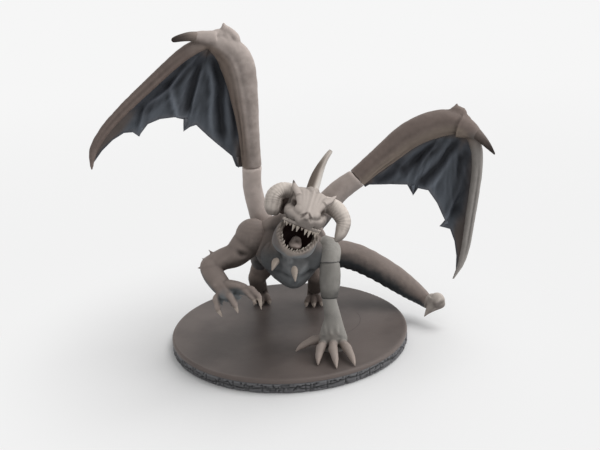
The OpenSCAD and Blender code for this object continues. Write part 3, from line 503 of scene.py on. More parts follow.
def carve(item, strokes, place=None):
    """Cuts creases into a piece, or raises ridges where the depth is negative.

    Each stroke is (points, width, depth), and fades at its ends.
    """
    points, normals = points_of(item), normals_of(item)
    push = np.zeros(len(points))
    for line, width, depth in strokes:
        line = in_frame(line, place)
        if len(line) > 2:
            line = smooth_run(line, 5)
        above, below = points > line.min(0) - 3 * width, points < line.max(0) + 3 * width
        close = np.where((above & below).all(1))[0]
        near, share = along(points[close], line)
        fade = np.clip(4 * np.minimum(share, 1 - share), 0, 1) ** 0.7
        push[close] -= depth * fade * np.exp(-(near / width) ** 2)
    set_points(item, points + normals * push[:, None])
    return item


def grain(points, size, seed=0):
    """Smooth noise from -1 to 1 over points, with lumps of about that size."""
    p = np.asarray(points, float) / size + 31.7 * (seed + 1)
    cell = np.floor(p).astype(np.int64)
    t = p - cell
    t = t * t * (3 - 2 * t)
    total = np.zeros(len(p))
    for corner in np.ndindex(2, 2, 2):
        c = cell + corner
        h = (c[:, 0] * 374761393 + c[:, 1] * 668265263 + c[:, 2] * 2147483647 + seed * 974634777) & 0xFFFFFFFF
        h = ((h ^ (h >> 13)) * 1274126177) & 0xFFFFFFFF
        value = ((h ^ (h >> 16)) & 0xFFFF) / 65535.0
        weight = np.prod(np.where(corner, t, 1 - t), axis=1)
        total += value * weight
    return 2 * total - 1


def roughen(item, size, height, seed=0):
    """Raises and sinks the surface by noise, as hand-sculpted skin is."""
    points, normals = points_of(item), normals_of(item)
    amount = height * (grain(points, size, seed) + 0.5 * grain(points, size / 2, seed + 5))
    set_points(item, points + normals * amount[:, None])
    return item


def flatten_behind(item, point, axis, within=None):
    """Presses what lies behind a seam plane onto it."""
    points = points_of(item)
    axis = unit(axis)
    depth = (points - point) @ axis
    hit = depth < 0
    if within is not None:
        hit &= within(points)
    points[hit] -= depth[hit, None] * axis
    set_points(item, points)
    return item


def averaged(values, edges, times):
    """Values smoothed over the mesh, a share of their neighbours' each time."""
    n = len(values)
    count = np.maximum(np.bincount(edges.ravel(), minlength=n), 1)
    values = values.copy()
    for _ in range(times):
        for c in range(values.shape[1]):
            total = (np.bincount(edges[:, 0], values[edges[:, 1], c], n)
                     + np.bincount(edges[:, 1], values[edges[:, 0], c], n))
            values[:, c] = 0.5 * values[:, c] + 0.5 * total / count
    return values


def step(low, high, x):
    """A smooth step from 0 at one edge to 1 at the other."""
    t = np.clip((x - low) / (high - low), 0, 1)
    return t * t * (3 - 2 * t)


def wash_and_shade(item, tone=None, other=None, reach=14, scale=0.22, dark=None):
    """Stores where paint gathers and where painted light and shade go.

    Red is for raised over sunk, which the paint turns into painted highlights and painted shade; green is for
    facing up, which picks painted light over painted shade; blue and alpha are for other colours.

    tone and other take points and give the share of the second and the third colour there, and dark the share
    of extra painted shade.
    """
    points, normals, edges = points_of(item), normals_of(item), edges_of(item)
    flat = averaged(points, edges, reach)
    raised = ((points - flat) * normals).sum(1, keepdims=True)
    raised = averaged(raised, edges, 2)[:, 0] / scale
    colour = np.ones((len(points), 4), np.float32)
    colour[:, 0] = np.clip(0.5 + 0.5 * raised, 0, 1)
    if dark is not None:
        colour[:, 0] *= 1 - np.clip(dark(points), 0, 1)
    colour[:, 1] = 0.5 + 0.5 * averaged(normals[:, 2:], edges, 4)[:, 0]
    colour[:, 2] = 0 if tone is None else np.clip(tone(points), 0, 1)
    colour[:, 3] = 0 if other is None else np.clip(other(points), 0, 1)
    layer = item.data.color_attributes.new(name="wash_and_shade", type="FLOAT_COLOR", domain="POINT")
    layer.data.foreach_set("color", colour.ravel())
    return shade_smooth(item)


def finish(item, body, material, nodes):
    """Paints a finished piece, hands it to its body and hides the solids it stands for."""
    item.data.materials.clear()
    item.data.materials.append(material)
    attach(item, body)
    if nodes:
        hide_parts(*nodes)
    return item


# ---------- what the camera sees at image points ----------

def camera_axes():
    """The camera's right, up and forward directions."""
    ahead = (CAMERA_AIM - CAMERA_AT).normalized()
    side = ahead.cross(Vector((0, 0, 1))).normalized()
    top = side.cross(ahead)
    c, s = math.cos(CAMERA_ROLL), math.sin(CAMERA_ROLL)
    return side * c + top * s, top * c - side * s, ahead


def image_ray(x, y):
    """The direction in which the camera sees an image point."""
    side, top, ahead = camera_axes()
    size = max(FRAME_W, FRAME_H)
    across = x - FRAME_W / 2 + CAMERA_SHIFT[0] * size
    rise = FRAME_H / 2 - y + CAMERA_SHIFT[1] * size
    return (side * across + top * rise + ahead * (size * CAMERA_LENS / CAMERA_SENSOR)).normalized()


def in_image(point):
    """Where the camera sees a point given in metres."""
    side, top, ahead = camera_axes()
    v = Vector(point) - CAMERA_AT
    size = max(FRAME_W, FRAME_H)
    reach = size * CAMERA_LENS / CAMERA_SENSOR / v.dot(ahead)
    return (v.dot(side) * reach + FRAME_W / 2 - CAMERA_SHIFT[0] * size,
            FRAME_H / 2 - v.dot(top) * reach + CAMERA_SHIFT[1] * size)


def place_on(carrier, name):
    """The place and normal, in metres, where a named image point lies on the finished carrier."""
    mesh = carrier.data
    tree = BVHTree.FromPolygons([v.co for v in mesh.vertices], [p.vertices for p in mesh.polygons])
    ray = image_ray(*IMAGE_POINTS[name])
    place, normal, _, _ = tree.ray_cast(CAMERA_AT, ray)
    if place is None:
        centre = sum((v.co for v in mesh.vertices), Vector()) / len(mesh.vertices)
        nearest = CAMERA_AT + ray * (centre - CAMERA_AT).dot(ray)
        place, normal, _, _ = tree.find_nearest(nearest)
    return place, normal


# ---------- paint ----------

class Value:
    """A shader value that adds the Math nodes of the expression it is used in."""

    def __init__(self, mix, socket):
        self.mix, self.socket = mix, socket

    def _math(self, operation, *values):
        inputs = {i: v for i, v in enumerate(values)}
        node = self.mix.node("ShaderNodeMath", {"operation": operation}, inputs)
        return Value(self.mix, node.outputs[0])

    def __add__(self, other):
        return self._math("ADD", self, other)

    def __sub__(self, other):
        return self._math("SUBTRACT", self, other)

    def __mul__(self, other):
        return self._math("MULTIPLY", self, other)

    def __rsub__(self, other):
        return self._math("SUBTRACT", other, self)

    def __pow__(self, other):
        return self._math("POWER", self, other)

    def __abs__(self):
        return self._math("ABSOLUTE", self)

    __radd__ = __add__
    __rmul__ = __mul__

    def most(self, other):
        return self._math("MAXIMUM", self, other)

    def least(self, other):
        return self._math("MINIMUM", self, other)

    def held(self):
        """The value kept between 0 and 1."""
        return self.most(0.0).least(1.0)

    def ramp(self, low, high):
        """0 below low and 1 above high, with a smooth rise between."""
        settings = {"interpolation_type": "SMOOTHSTEP"}
        node = self.mix.node("ShaderNodeMapRange", settings,
                             {"Value": self, "From Min": low, "From Max": high})
        return Value(self.mix, node.outputs[0])


class PaintMix:
    """The nodes of one new material, or of the world."""

    def __init__(self, owner):
        owner.use_nodes = True
        self.owner, self.tree = owner, owner.node_tree
        self.tree.nodes.clear()

    def node(self, kind, settings=None, inputs=None):
        """Adds a node with its settings first, then the values or links of its sockets."""
        node = self.tree.nodes.new(kind)
        for key, value in (settings or {}).items():
            setattr(node, key, value)
        for key, value in (inputs or {}).items():
            if isinstance(value, Value):
                value = value.socket
            if isinstance(value, bpy.types.NodeSocket):
                self.tree.links.new(value, node.inputs[key])
            else:
                node.inputs[key].default_value = value
        return node

    def blend(self, under, over, factor):
        """Two colours mixed by a factor."""
        def colour(c):
            return c if isinstance(c, bpy.types.NodeSocket) else (*c, 1.0)
        node = self.node("ShaderNodeMix", {"data_type": "RGBA"},
                         {0: factor, 6: colour(under), 7: colour(over)})
        return node.outputs[2]

    def scaled(self, colour, factor):
        """A colour made lighter or darker by a value."""
        node = self.node("ShaderNodeVectorMath", {"operation": "SCALE"}, {0: colour, 3: factor})
        return node.outputs[0]

    def noise(self, size, detail=3.0, roughness=0.5):
        """Noise over the piece, with lumps of about that many millimetres."""
        where = self.node("ShaderNodeTexCoord").outputs["Object"]
        lumps = self.node("ShaderNodeTexNoise", None,
                          {"Vector": where, "Scale": 1.0 / (size * MM), "Detail": detail,
                                                       "Roughness": roughness})
        return Value(self, lumps.outputs[0])

    def surface(self, colour, roughness, height=None, bump=0.2, metallic=0.0, **fixed):
        """The shader itself. height feeds a bump, in millimetres when bump is 1."""
        inputs = {"Base Color": colour if isinstance(colour, bpy.types.NodeSocket) else (*colour, 1.0),
                  "Roughness": roughness, "Metallic": metallic, "Specular IOR Level": 0.15, **fixed}
        if height is not None:
            lift = self.node("ShaderNodeBump", None, {"Strength": bump, "Distance": MM, "Height": height})
            inputs["Normal"] = lift.outputs[0]
        shader = self.node("ShaderNodeBsdfPrincipled", None, inputs)
        self.node("ShaderNodeOutputMaterial", None, {"Surface": shader.outputs[0]})
        return self.owner

    def plain_sight(self):
        """1 for the rays that show a backdrop itself: the camera's own and those off glossy paint."""
        rays = self.node("ShaderNodeLightPath")
        return Value(self, rays.outputs["Is Camera Ray"]).most(Value(self, rays.outputs["Is Glossy Ray"]))


def new_paint(name):
    """The empty nodes of a new material."""
    return PaintMix(bpy.data.materials.new(name))


PAINT_GRAIN = 0.12


def layered_paint(name, lit, shade, second, third=None, deep=0.42, drybrush_and_highlight=0.5, roughness=0.62, shade_from=0.30,
                  shade_to=0.78):
    """Hand-painted skin with painted light and shade: shade colour below, lit colour above, dark washes in
    recesses that are partly painted shade, and drybrushed edges that are partly painted highlights.

    second and third lie where the stored masks put them. deep is how dark the painted shade in recesses gets,
    and the drybrush factor how pale the painted highlights on raised edges are.
    """
    mix = new_paint(name)
    layer = mix.node("ShaderNodeAttribute", {"attribute_name": "wash_and_shade"})
    parts = mix.node("ShaderNodeSeparateColor", None, {"Color": layer.outputs["Color"]})
    raised, facing, tone = (Value(mix, parts.outputs[i]) for i in range(3))
    mottle = mix.noise(5.0, 4.0, 0.6)
    speck = mix.noise(0.7, 3.0, 0.6)
    # painted light and shade: the lit colour where the surface faces up, the shade colour where it faces down
    level = (facing + (mottle - 0.5) * 0.3).ramp(shade_from, shade_to)
    colour = mix.blend(shade, lit, level)
    colour = mix.blend(colour, second, tone)
    if third is not None:
        colour = mix.blend(colour, third, Value(mix, layer.outputs["Alpha"]))
    # painted shade darkens what is sunk and painted highlights pale what is raised, partly as washes and
    # drybrushing would
    sunk = (0.5 - raised).most(0.0) * 2.0
    edge = ((raised - 0.5).most(0.0) * 2.0) * (0.55 + speck * 0.9)
    brighter = mix.scaled(colour, 1.0 + edge * drybrush_and_highlight)
    colour = mix.scaled(brighter, (1.0 - (sunk * (1.0 - deep)).held()) * (0.88 + mottle * 0.24))
    rough = (roughness - 0.08) + speck * 0.1 + sunk * 0.15
    return mix.surface(colour, rough, speck, bump=PAINT_GRAIN)


# ---------- settings that a user would change ----------

class BeastPaintSettings(bpy.types.PropertyGroup):
    """Paint colours of the figure."""

    skin_lit: bpy.props.FloatVectorProperty(
        name="Skin", description="Skin that faces up", subtype="COLOR", size=3, min=0, max=1,
        default=srgb(134, 123, 117))
    skin_shade: bpy.props.FloatVectorProperty(
        name="Skin in shade", description="Skin that faces down, shaded towards slate", subtype="COLOR",
        size=3, min=0, max=1, default=srgb(62, 61, 62))
    skull_lit: bpy.props.FloatVectorProperty(
        name="Skull", description="Bone and face that face up", subtype="COLOR", size=3, min=0, max=1,
        default=srgb(178, 168, 161))
    skull_shade: bpy.props.FloatVectorProperty(
        name="Skull in shade", description="Bone and face that face down", subtype="COLOR", size=3, min=0,
        max=1, default=srgb(116, 109, 104))
    horn: bpy.props.FloatVectorProperty(
        name="Horns", description="Horns and crest", subtype="COLOR", size=3, min=0, max=1,
        default=srgb(188, 179, 171))
    gum: bpy.props.FloatVectorProperty(
        name="Gums", description="Ribbed rim of the lower jaw", subtype="COLOR", size=3, min=0, max=1,
        default=srgb(132, 123, 116))
    # slate belly paint; the same slate is painted shade under the torso, on the jaw's shaded side and in a
    # strip down the right forearm
    belly: bpy.props.FloatVectorProperty(
        name="Belly", description="Slate belly, chest and webs", subtype="COLOR", size=3, min=0, max=1,
        default=srgb(98, 101, 103))
    stub: bpy.props.FloatVectorProperty(
        name="Wing stubs", description="Pale stubs of the wings and the right wing's arm", subtype="COLOR",
        size=3, min=0, max=1, default=srgb(172, 161, 155))
    # the planted arm's greyer paint, paler than the rest as painted light on its lit side
    planted: bpy.props.FloatVectorProperty(
        name="Left arm", description="The planted arm, paler than the rest", subtype="COLOR", size=3, min=0,
        max=1, default=srgb(144, 141, 136))
    claw: bpy.props.FloatVectorProperty(
        name="Claws", description="Claws and spikes", subtype="COLOR", size=3, min=0, max=1,
        default=srgb(158, 147, 137))
    tooth: bpy.props.FloatVectorProperty(
        name="Teeth", description="Teeth", subtype="COLOR", size=3, min=0, max=1, default=srgb(205, 197, 186))
    mouth: bpy.props.FloatVectorProperty(
        name="Mouth", description="Inside of the mouth", subtype="COLOR", size=3, min=0, max=1,
        default=srgb(44, 30, 28))
    sail: bpy.props.FloatVectorProperty(
        name="Sails", description="Wing sails on their raised folds", subtype="COLOR", size=3, min=0, max=1,
        default=srgb(84, 89, 96))
    # colour of the sails in their sunk folds, which is painted shade
    sail_deep: bpy.props.FloatVectorProperty(
        name="Sails, deep", description="Wing sails in their folds", subtype="COLOR", size=3, min=0, max=1,
        default=srgb(66, 69, 75))
    wing_lit: bpy.props.FloatVectorProperty(
        name="Wing arms", description="Wing arms, browner than the skin", subtype="COLOR", size=3, min=0,
        max=1, default=srgb(116, 104, 98))
    base: bpy.props.FloatVectorProperty(
        name="Base", description="Top of the base", subtype="COLOR", size=3, min=0, max=1,
        default=srgb(104, 95, 91))
    band: bpy.props.FloatVectorProperty(
        name="Band", description="Carved band of the base", subtype="COLOR", size=3, min=0, max=1,
        default=srgb(96, 96, 98))


class BeastSculptSettings(bpy.types.PropertyGroup):
    """Fineness and depth of the sculpting."""

    body_voxel: bpy.props.FloatProperty(
        name="Body fineness", description="Mesh size of the torso and legs in millimetres", default=0.5,
        min=0.25, max=1.5)
    limb_voxel: bpy.props.FloatProperty(
        name="Limb fineness", description="Mesh size of arms, tail and wing arms in millimetres",
        default=0.38, min=0.2, max=1)
    head_voxel: bpy.props.FloatProperty(
        name="Head fineness", description="Mesh size of the skull and jaw in millimetres", default=0.26,
        min=0.15, max=0.8)
    fold_depth: bpy.props.FloatProperty(
        name="Fold depth", description="Factor on the depth of the sails' folds", subtype="FACTOR",
        default=1.0, min=0, max=2)
    horn_ribs: bpy.props.IntProperty(
        name="Horn ribs", description="Number of ribs around each horn", default=15, min=0, max=40)


class BeastStageSettings(bpy.types.PropertyGroup):
    """Floor, backdrop and light."""

    floor: bpy.props.FloatVectorProperty(
        name="Floor", description="Colour of the floor", subtype="COLOR", size=3, min=0, max=1,
        default=srgb(242, 242, 242))
    backdrop: bpy.props.FloatVectorProperty(
        name="Backdrop", description="Colour of the backdrop", subtype="COLOR", size=3, min=0, max=1,
        default=srgb(246, 246, 246))
    key_power: bpy.props.FloatProperty(
        name="Key light", description="Power of the light above the figure", subtype="POWER", default=2.8,
        min=0, max=50)
    side_power: bpy.props.FloatProperty(
        name="Side light", description="Power of the light from the beast's left", subtype="POWER",
        default=2.4, min=0, max=50)
    world_level: bpy.props.FloatProperty(
        name="Room light", description="Strength of the light from all round", default=0.5, min=0, max=2)


class BeastSettings(bpy.types.PropertyGroup):
    """Every setting of the miniature."""

    paint: bpy.props.PointerProperty(type=BeastPaintSettings)
    sculpt: bpy.props.PointerProperty(type=BeastSculptSettings)
    stage: bpy.props.PointerProperty(type=BeastStageSettings)


def settings():
    return bpy.context.scene.beast


def material(name, make):
    """A finish by name, made once. The solids' own materials have the slots' names, so these have others."""
    name = f"beast_{name}"
    return bpy.data.materials.get(name) or make(name)


def skin_paint():
    """Warm grey skin with a slate belly whose slate is also painted shade under the torso, and pale wing
    stubs.
    """
    paint = settings().paint
    return material("skin_paint", lambda name: layered_paint(
        name, paint.skin_lit[:], paint.skin_shade[:], paint.belly[:], paint.stub[:], shade_from=0.2,
        shade_to=0.72))


def clawed_paint(name, lit, shade, shade_from=0.2, shade_to=0.75):
    """Skin of a limb whose claws are bone and whose webs are slate, with the same slate as painted shade
    along a shaded edge.
    """
    paint = settings().paint
    return material(name, lambda name: layered_paint(
        name, lit, shade, paint.claw[:], paint.belly[:], shade_from=shade_from, shade_to=shade_to))


def wing_paint(side):
    """A wing's arm, with its finger in the second colour and the strip along the sail in the third."""
    paint = settings().paint
    colours = {"right": (paint.stub[:], srgb(108, 99, 94), srgb(92, 80, 75), srgb(112, 100, 92)),
               "left": (paint.wing_lit[:], srgb(84, 76, 72), srgb(130, 127, 124), srgb(120, 109, 100))}[side]
    return material(f"{side}_wing_paint", lambda name: layered_paint(name, *colours, deep=0.4, drybrush_and_highlight=0.45,
                                                                     shade_from=0.1, shade_to=0.7))


def thumb_paint(side):
    """A wing's thumb claw, which darkens to its tip."""
    root = {"right": srgb(140, 128, 120), "left": srgb(110, 100, 94)}[side]
    return material(f"{side}_thumb_paint", lambda name: layered_paint(
        name, root, tuple(0.55 * c for c in root), srgb(48, 42, 40), deep=0.5, drybrush_and_highlight=0.3))


def sail_paint():
    """The sails' slate blue, browner along the frame and the trailing edge, darker in the sunk folds as
    painted shade.
    """
    paint = settings().paint
    return material("sail_paint", lambda name: layered_paint(
        name, paint.sail[:], paint.sail[:], srgb(88, 79, 74), paint.sail_deep[:], deep=0.42, drybrush_and_highlight=0.6,
        roughness=0.5))


def horn_paint():
    """Horn, dark where paint gathers and as painted shade in recesses; on the crest the second colour is
    painted shadow and the third a painted highlight.
    """
    paint = settings().paint
    return material("horn_paint", lambda name: layered_paint(
        name, paint.horn[:], paint.skull_shade[:], srgb(84, 72, 62), srgb(208, 203, 197), deep=0.45, drybrush_and_highlight=0.3,
        roughness=0.55))


def tooth_paint():
    """Bone of the teeth."""
    paint = settings().paint
    return material("tooth_paint", lambda name: layered_paint(
        name, paint.tooth[:], paint.claw[:], paint.mouth[:], deep=0.6, drybrush_and_highlight=0.2, roughness=0.45))


def claw_paint():
    """Bone of the claws."""
    paint = settings().paint
    return material("claw_paint", lambda name: layered_paint(
        name, paint.claw[:], paint.skull_shade[:], paint.skin_lit[:], deep=0.5, drybrush_and_highlight=0.4, roughness=0.5))


def planted_paint():
    """The planted arm's greyer skin, paler than the rest as painted light on the side the lamp from +X
    lights.
    """
    paint = settings().paint
    return material("planted_paint", lambda name: layered_paint(
        name, paint.planted[:], srgb(74, 74, 75), paint.claw[:], srgb(148, 136, 129), shade_from=0.15,
        shade_to=0.65))


# ---------- pieces ----------

def claw_tips(digits):
    """A tone for the claws at the ends of digits."""
    def tone(points):
        total = np.zeros(len(points))
        for joints in digits:
            middle, tip = np.array(joints[2], float), np.array(joints[3], float)
            start = middle + 0.05 * (tip - middle)
            near, share = along(points, [start, tip])
            total = np.maximum(total, step(0, 0.3, share) * (near < 2.5))
        return total * 0.8
    return tone


class BEAST_OT_torso(bpy.types.Operator):
    """Sculpt the torso, neck and wing stubs as one skin"""

    bl_idname = "beast.torso"
    bl_label = "Torso"

    def execute(self, context):
        clay = Clay()
        clay.tube(TORSO, sides=48, pinch=0.42)
        clay.tube(NECK, up=(1, 0, 0))
        clay.tube(RIGHT_STUB, up=(0, 1, 0), last=RIGHT_WING_AXIS)
        clay.tube(LEFT_STUB, up=(0, 1, 0), last=LEFT_WING_AXIS)
        clay.tube(TAIL_ROOT)
        clay.ball([-3.4, -17.4, 37.5], [6.6, 5, 6.6], (0, 0, 25))
        clay.ball([10, -17, 37.5], [6, 5, 7], (0, 0, -25))
        clay.tube([[-1, -18.2, 48, 1.6, 2], [-3.4, -19.6, 43, 1.9, 2.2], [-3, -20.6, 37, 1.6, 2]])
        clay.tube([[1, -19.2, 47, 1.6, 1.8], [0, -21.2, 42, 1.9, 2], [1.4, -22.2, 36, 1.4, 1.8]])
        clay.tube([[7, -15.5, 53, 4, 4], [-1, -12, 49.4, 4, 4], [-8, -7, 45.2, 4, 4]])
        clay.tube([[-8, -6, 37, 5, 5], [-10.8, -1, 32, 4, 5], [-10.6, 5, 29, 4, 5], [-8, 14, 29, 4, 5]])
        clay.tube([[8, -14, 52, 4, 4], [10.8, -10, 46.5, 3.8, 3.8], [13.5, -7, 40.5, 3.6, 3.6]])
        clay.tube([[-6, -5, 43, 4.6, 3.4], [-6.8, 3, 42, 5.2, 4], [-6, 9, 39.4, 4.6, 3.4],
                   [-4, 17, 36.4, 3, 2.4]])
        clay.tube([[10, -3, 43, 4.6, 3.4], [11, 5, 41.6, 5.2, 4], [9.4, 11, 39, 4.6, 3.4],
                   [6, 19, 36, 3, 2.4]])
        for y in np.arange(-6, 25, 3.4):
            height = np.interp(y, [-6, 0, 8, 16, 25], [49.5, 47.4, 43.2, 41, 38.4])
            clay.ball([1.6, y, height], [1.3, 1.9, 1.6])
        torso = clay.piece("beast_torso")
        fuse(torso, settings().sculpt.body_voxel, 5)
        carve(torso, [
            ([[3.8, -24, 46], [3.9, -25.2, 39], [3.6, -24, 32], [3, -20, 26]], 1.1, 0.8),
            ([[-9, -17, 34], [-3, -21.5, 31.5], [3.4, -23, 30]], 1.3, 0.7),
            ([[15, -15, 34], [9.6, -20, 31.5], [4.2, -23, 30]], 1.3, 0.7),
        ] + [([[-13 + 0.4 * i, -8 + 4.6 * i, 41 - 1.2 * i], [-13 + 0.5 * i, -10 + 4.6 * i, 34],
               [-9, -11 + 4.6 * i, 27]], 1.1, 0.5) for i in range(4)]
          + [([[15.5 - 0.4 * i, -6 + 4.6 * i, 41 - 1.2 * i], [15.5 - 0.5 * i, -8 + 4.6 * i, 34],
               [12, -9 + 4.6 * i, 27]], 1.1, 0.5) for i in range(4)]
          + [([[x - 0.8, -21, 41], [x, -24.5, 36], [0.8 * x + 0.6, -25, 30]], 0.5, 0.3)
             for x in np.arange(-5.5, 11, 1.5)]
          + [([[x + 3.5, -18, 52], [x + 1, -20, 46], [x, -20, 39]], 0.7, 0.5)
             for x in (-9, -6.6, -4.2, -1.6)])
        roughen(torso, 3.0, 0.12)

        def beside_neck(points):
            return (np.linalg.norm((points - NECK_SEAM)[:, [0, 2]], axis=1) < 9) & (points[:, 2] > 50)
        flatten_behind(torso, NECK_SEAM, -HEAD_AXIS, beside_neck)
        for seam, axis in ((RIGHT_WING_SEAM, RIGHT_WING_AXIS), (LEFT_WING_SEAM, LEFT_WING_AXIS)):
            flatten_behind(torso, seam, np.negative(unit(axis)),
                           lambda points, seam=seam: np.linalg.norm(points - seam, axis=1) < 8)

        # the chest's front takes the slate belly paint; under the torso the slate is painted shade
        def slate(points):
            front = step(-13, -19, points[:, 1]) * step(45, 38, points[:, 2])
            under = step(31, 25, points[:, 2]) * step(-10.5, -7, points[:, 0]) * 0.8
            return np.maximum(front, under) * 0.85

        def pale(points):
            right, _ = along(points, np.array(RIGHT_STUB)[1:, :3])
            left, _ = along(points, np.array(LEFT_STUB)[1:, :3])
            rise = np.where(right < left, step(44, 54, points[:, 2]), 0.55 * step(44, 52, points[:, 2]))
            return rise * step(7, 5, np.minimum(right, left))

        def neck_shade(points):
            left, _ = along(points, [[-3, -18, 50], [-5, -18, 44], [-5.5, -18, 37]])
            right, _ = along(points, [[13, -18, 50], [12, -18, 42], [12, -18, 36]])
            under, _ = along(points, [[-6, -24, 38], [4, -26, 39], [11, -23, 39]])
            return 0.8 * step(8, 3, left) + 0.6 * step(7, 3, right) + 0.15 * step(6, 2, under)
        wash_and_shade(torso, slate, pale, dark=neck_shade)
        finish(torso, "figure", skin_paint(),
               ["torso_belly", "torso_back", "neck", "right_wing_stub", "left_wing_stub", "tail_root"])
        spikes = Clay()
        for root, tip in (([-2.4, -17.4, 38.8], [-5.2, -25.6, 34.6]), ([3.2, -18, 36], [3.6, -26.6, 30])):
            spikes.spike(root, tip, 2.5, (0, -0.6, 0.2))
        thorns = spikes.piece("beast_throat_spikes")
        wash_and_shade(thorns)
        finish(thorns, "figure", claw_paint(), ["throat_spikes"])
        return {"FINISHED"}


class BEAST_OT_left_arm(bpy.types.Operator):
    """Sculpt the planted arm: its shoulder, elbow sleeve and clawed hand"""

    bl_idname = "beast.left_arm"
    bl_label = "Left arm"

    def execute(self, context):
        voxel = settings().sculpt.limb_voxel
        clay = Clay().tube(LEFT_SHOULDER, up=(0, 1, 0.3), last=np.negative(LEFT_RING_AXIS))
        clay.ball([15.6, -11.5, 37.6], [5.4, 6, 5], (0, 0, -30))
        shoulder = clay.piece("beast_left_shoulder")
        fuse(shoulder, voxel, 4)
        roughen(shoulder, 2.0, 0.06, 3)
        wash_and_shade(shoulder)
        finish(shoulder, "figure", planted_paint(), ["left_upper_arm"])

        def bands(share, angle):
            upper, cuff = np.exp(-((share - 0.02) / 0.03) ** 2), np.exp(-((share - 1.0) / 0.04) ** 2)
            return 1 - 0.05 * upper - 0.08 * cuff + 0.012 * np.sin(angle * 5 + share * 9)
        clay = Clay().tube(LEFT_SLEEVE, up=(0, 1, 0), sides=64, steps=20, first=np.negative(LEFT_RING_AXIS),
                           last=np.negative(LEFT_CUFF_AXIS), swell=bands)
        sleeve = clay.piece("beast_left_elbow")
        fuse(sleeve, voxel * 0.8, 4)
        roughen(sleeve, 2.0, 0.06, 3)
        # painted shade over the sleeve, deeper towards its lower end
        wash_and_shade(sleeve, dark=lambda points: 0.3 + 0.45 * step(27, 22.5, points[:, 2]))
        finish(sleeve, "figure", planted_paint(), ["left_elbow_sleeve"])

        clay = Clay().tube(LEFT_FOREARM, up=(0, 1, 0))
        for joints in LEFT_DIGITS:
            clay.digit(joints, LEFT_DIGIT_RADIUS)
        hand = clay.piece("beast_left_hand")
        fuse(hand, voxel * 0.8, 3)
        tendons = [([[16.2 + 0.5 * (d[1][0] - 16.5), -25.6, 13], [0.5 * (16.5 + d[1][0]), -28.2, 8],
                     [d[1][0], d[1][1] - 0.4, d[1][2] + 1.6]], 0.7, -0.35) for d in LEFT_DIGITS[:3]]
        wrist = [([[12.4, -26, 6.4], [14.5, -28.6, 6.6], [17, -29.4, 6.6], [19.6, -28.6, 6.4],
                   [21.2, -26, 6]],
                  0.6, 0.3)]
        carve(hand, tendons + wrist)

        def browner(points):
            return 0.9 * np.maximum(step(-27.4, -30.6, points[:, 1]), step(13.4, 11.2, points[:, 0]))
        wash_and_shade(hand, claw_tips(LEFT_DIGITS), browner)
        finish(hand, "figure", planted_paint(), ["left_forearm_hand"])
        return {"FINISHED"}


class BEAST_OT_right_arm(bpy.types.Operator):
    """Sculpt the raised arm with its webbed, clawed hand"""

    bl_idname = "beast.right_arm"
    bl_label = "Right arm"

    def execute(self, context):
        clay = Clay().tube(RIGHT_ARM).tube(RIGHT_FOREARM)
        clay.ball([-12.9, -8.6, 43.4], [7, 6.8, 7.3], (0, 10, 0))
        clay.ball([-30, -14.6, 33.4], [4.2, 4.2, 4.2])
        clay.spike([-30, -13.4, 33], [-35.6, -13, 32.4], 1.7)
        clay.spike([-29, -13, 34.6], [-33.6, -12.2, 36.2], 1.4)
        clay.spike([-27, -12, 35.6], [-30.8, -11, 39.4], 1.3)
        clay.tube([[-24, -21, 27.6, 3, 2.4], [-19.5, -23, 27.8, 2.4, 2], [-15.8, -24.6, 27.4, 1.7, 1.5]])
        for joints in RIGHT_DIGITS:
            clay.digit(joints, RIGHT_DIGIT_RADIUS)
        for a, b in zip(RIGHT_DIGITS[:2], RIGHT_DIGITS[1:3]):
            (r0, k0, m0), (r1, k1, m1) = (np.asarray(d[:3], float) for d in (a, b))
            corners = [r0, k0, 0.1 * k0 + 0.9 * m0, 0.1 * k1 + 0.9 * m1, k1, r1]
            lift = np.array([0, 0.35, 0.35])
            points = np.vstack([np.array(corners) - lift, np.array(corners) + lift])
            n = len(corners)
            faces = [list(range(n - 1, -1, -1)), list(range(n, 2 * n))]
            faces += [[i, (i + 1) % n, n + (i + 1) % n, n + i] for i in range(n)]
            clay.add(points, faces)
        arm = clay.piece("beast_right_arm")
        fuse(arm, settings().sculpt.limb_voxel, 3)
        carve(arm, [
            ([[-20.4, -9, 41.6], [-18.6, -14, 39], [-14.5, -15.6, 36.6], [-9.5, -15, 35.4]], 1.1, 1.1),
            ([[-14, -12.6, 34.6], [-19, -13.8, 34.6], [-24, -15, 33]], 1.2, 0.4),
            ([[-22, -13.6, 38.6], [-26, -15, 37], [-29, -17, 34.6]], 0.9, 0.35),
            ([[-31, -18.6, 32.5], [-28.5, -20.6, 30.6], [-25.6, -22, 29]], 0.9, 0.3),
            ([[-28.2, -20.4, 30.2], [-27.6, -24, 28]], 0.7, -0.3),
            ([[-26.4, -21.6, 29.4], [-22.8, -26, 27.6]], 0.7, -0.3),
            ([[-24.2, -22.4, 29.2], [-17.4, -25.2, 28.6]], 0.7, -0.3),
        ])

        # slate paint on the webs between the digits, and a slate strip of painted shade along the forearm's
        # outer edge
        def webs(points):
            near = np.minimum(*(along(points, [0.5 * (np.array(a[i], float) + b[i]) for i in range(3)])[0]
                                for a, b in zip(RIGHT_DIGITS[:2], RIGHT_DIGITS[1:3])))
            outer, _ = along(points, [[-34, -15.4, 31.5], [-31, -20.6, 27.4], [-28.8, -23.4, 25.2]])
            return np.maximum(step(2.8, 1.2, near), 0.8 * step(2.4, 0.8, outer))
        wash_and_shade(arm, claw_tips(RIGHT_DIGITS), webs)
        finish(arm, "figure", clawed_paint("right_arm_paint", settings().paint.skin_lit[:],
                                                         srgb(84, 77, 73)),
               ["right_upper_arm", "right_forearm", "right_hand"])
        return {"FINISHED"}


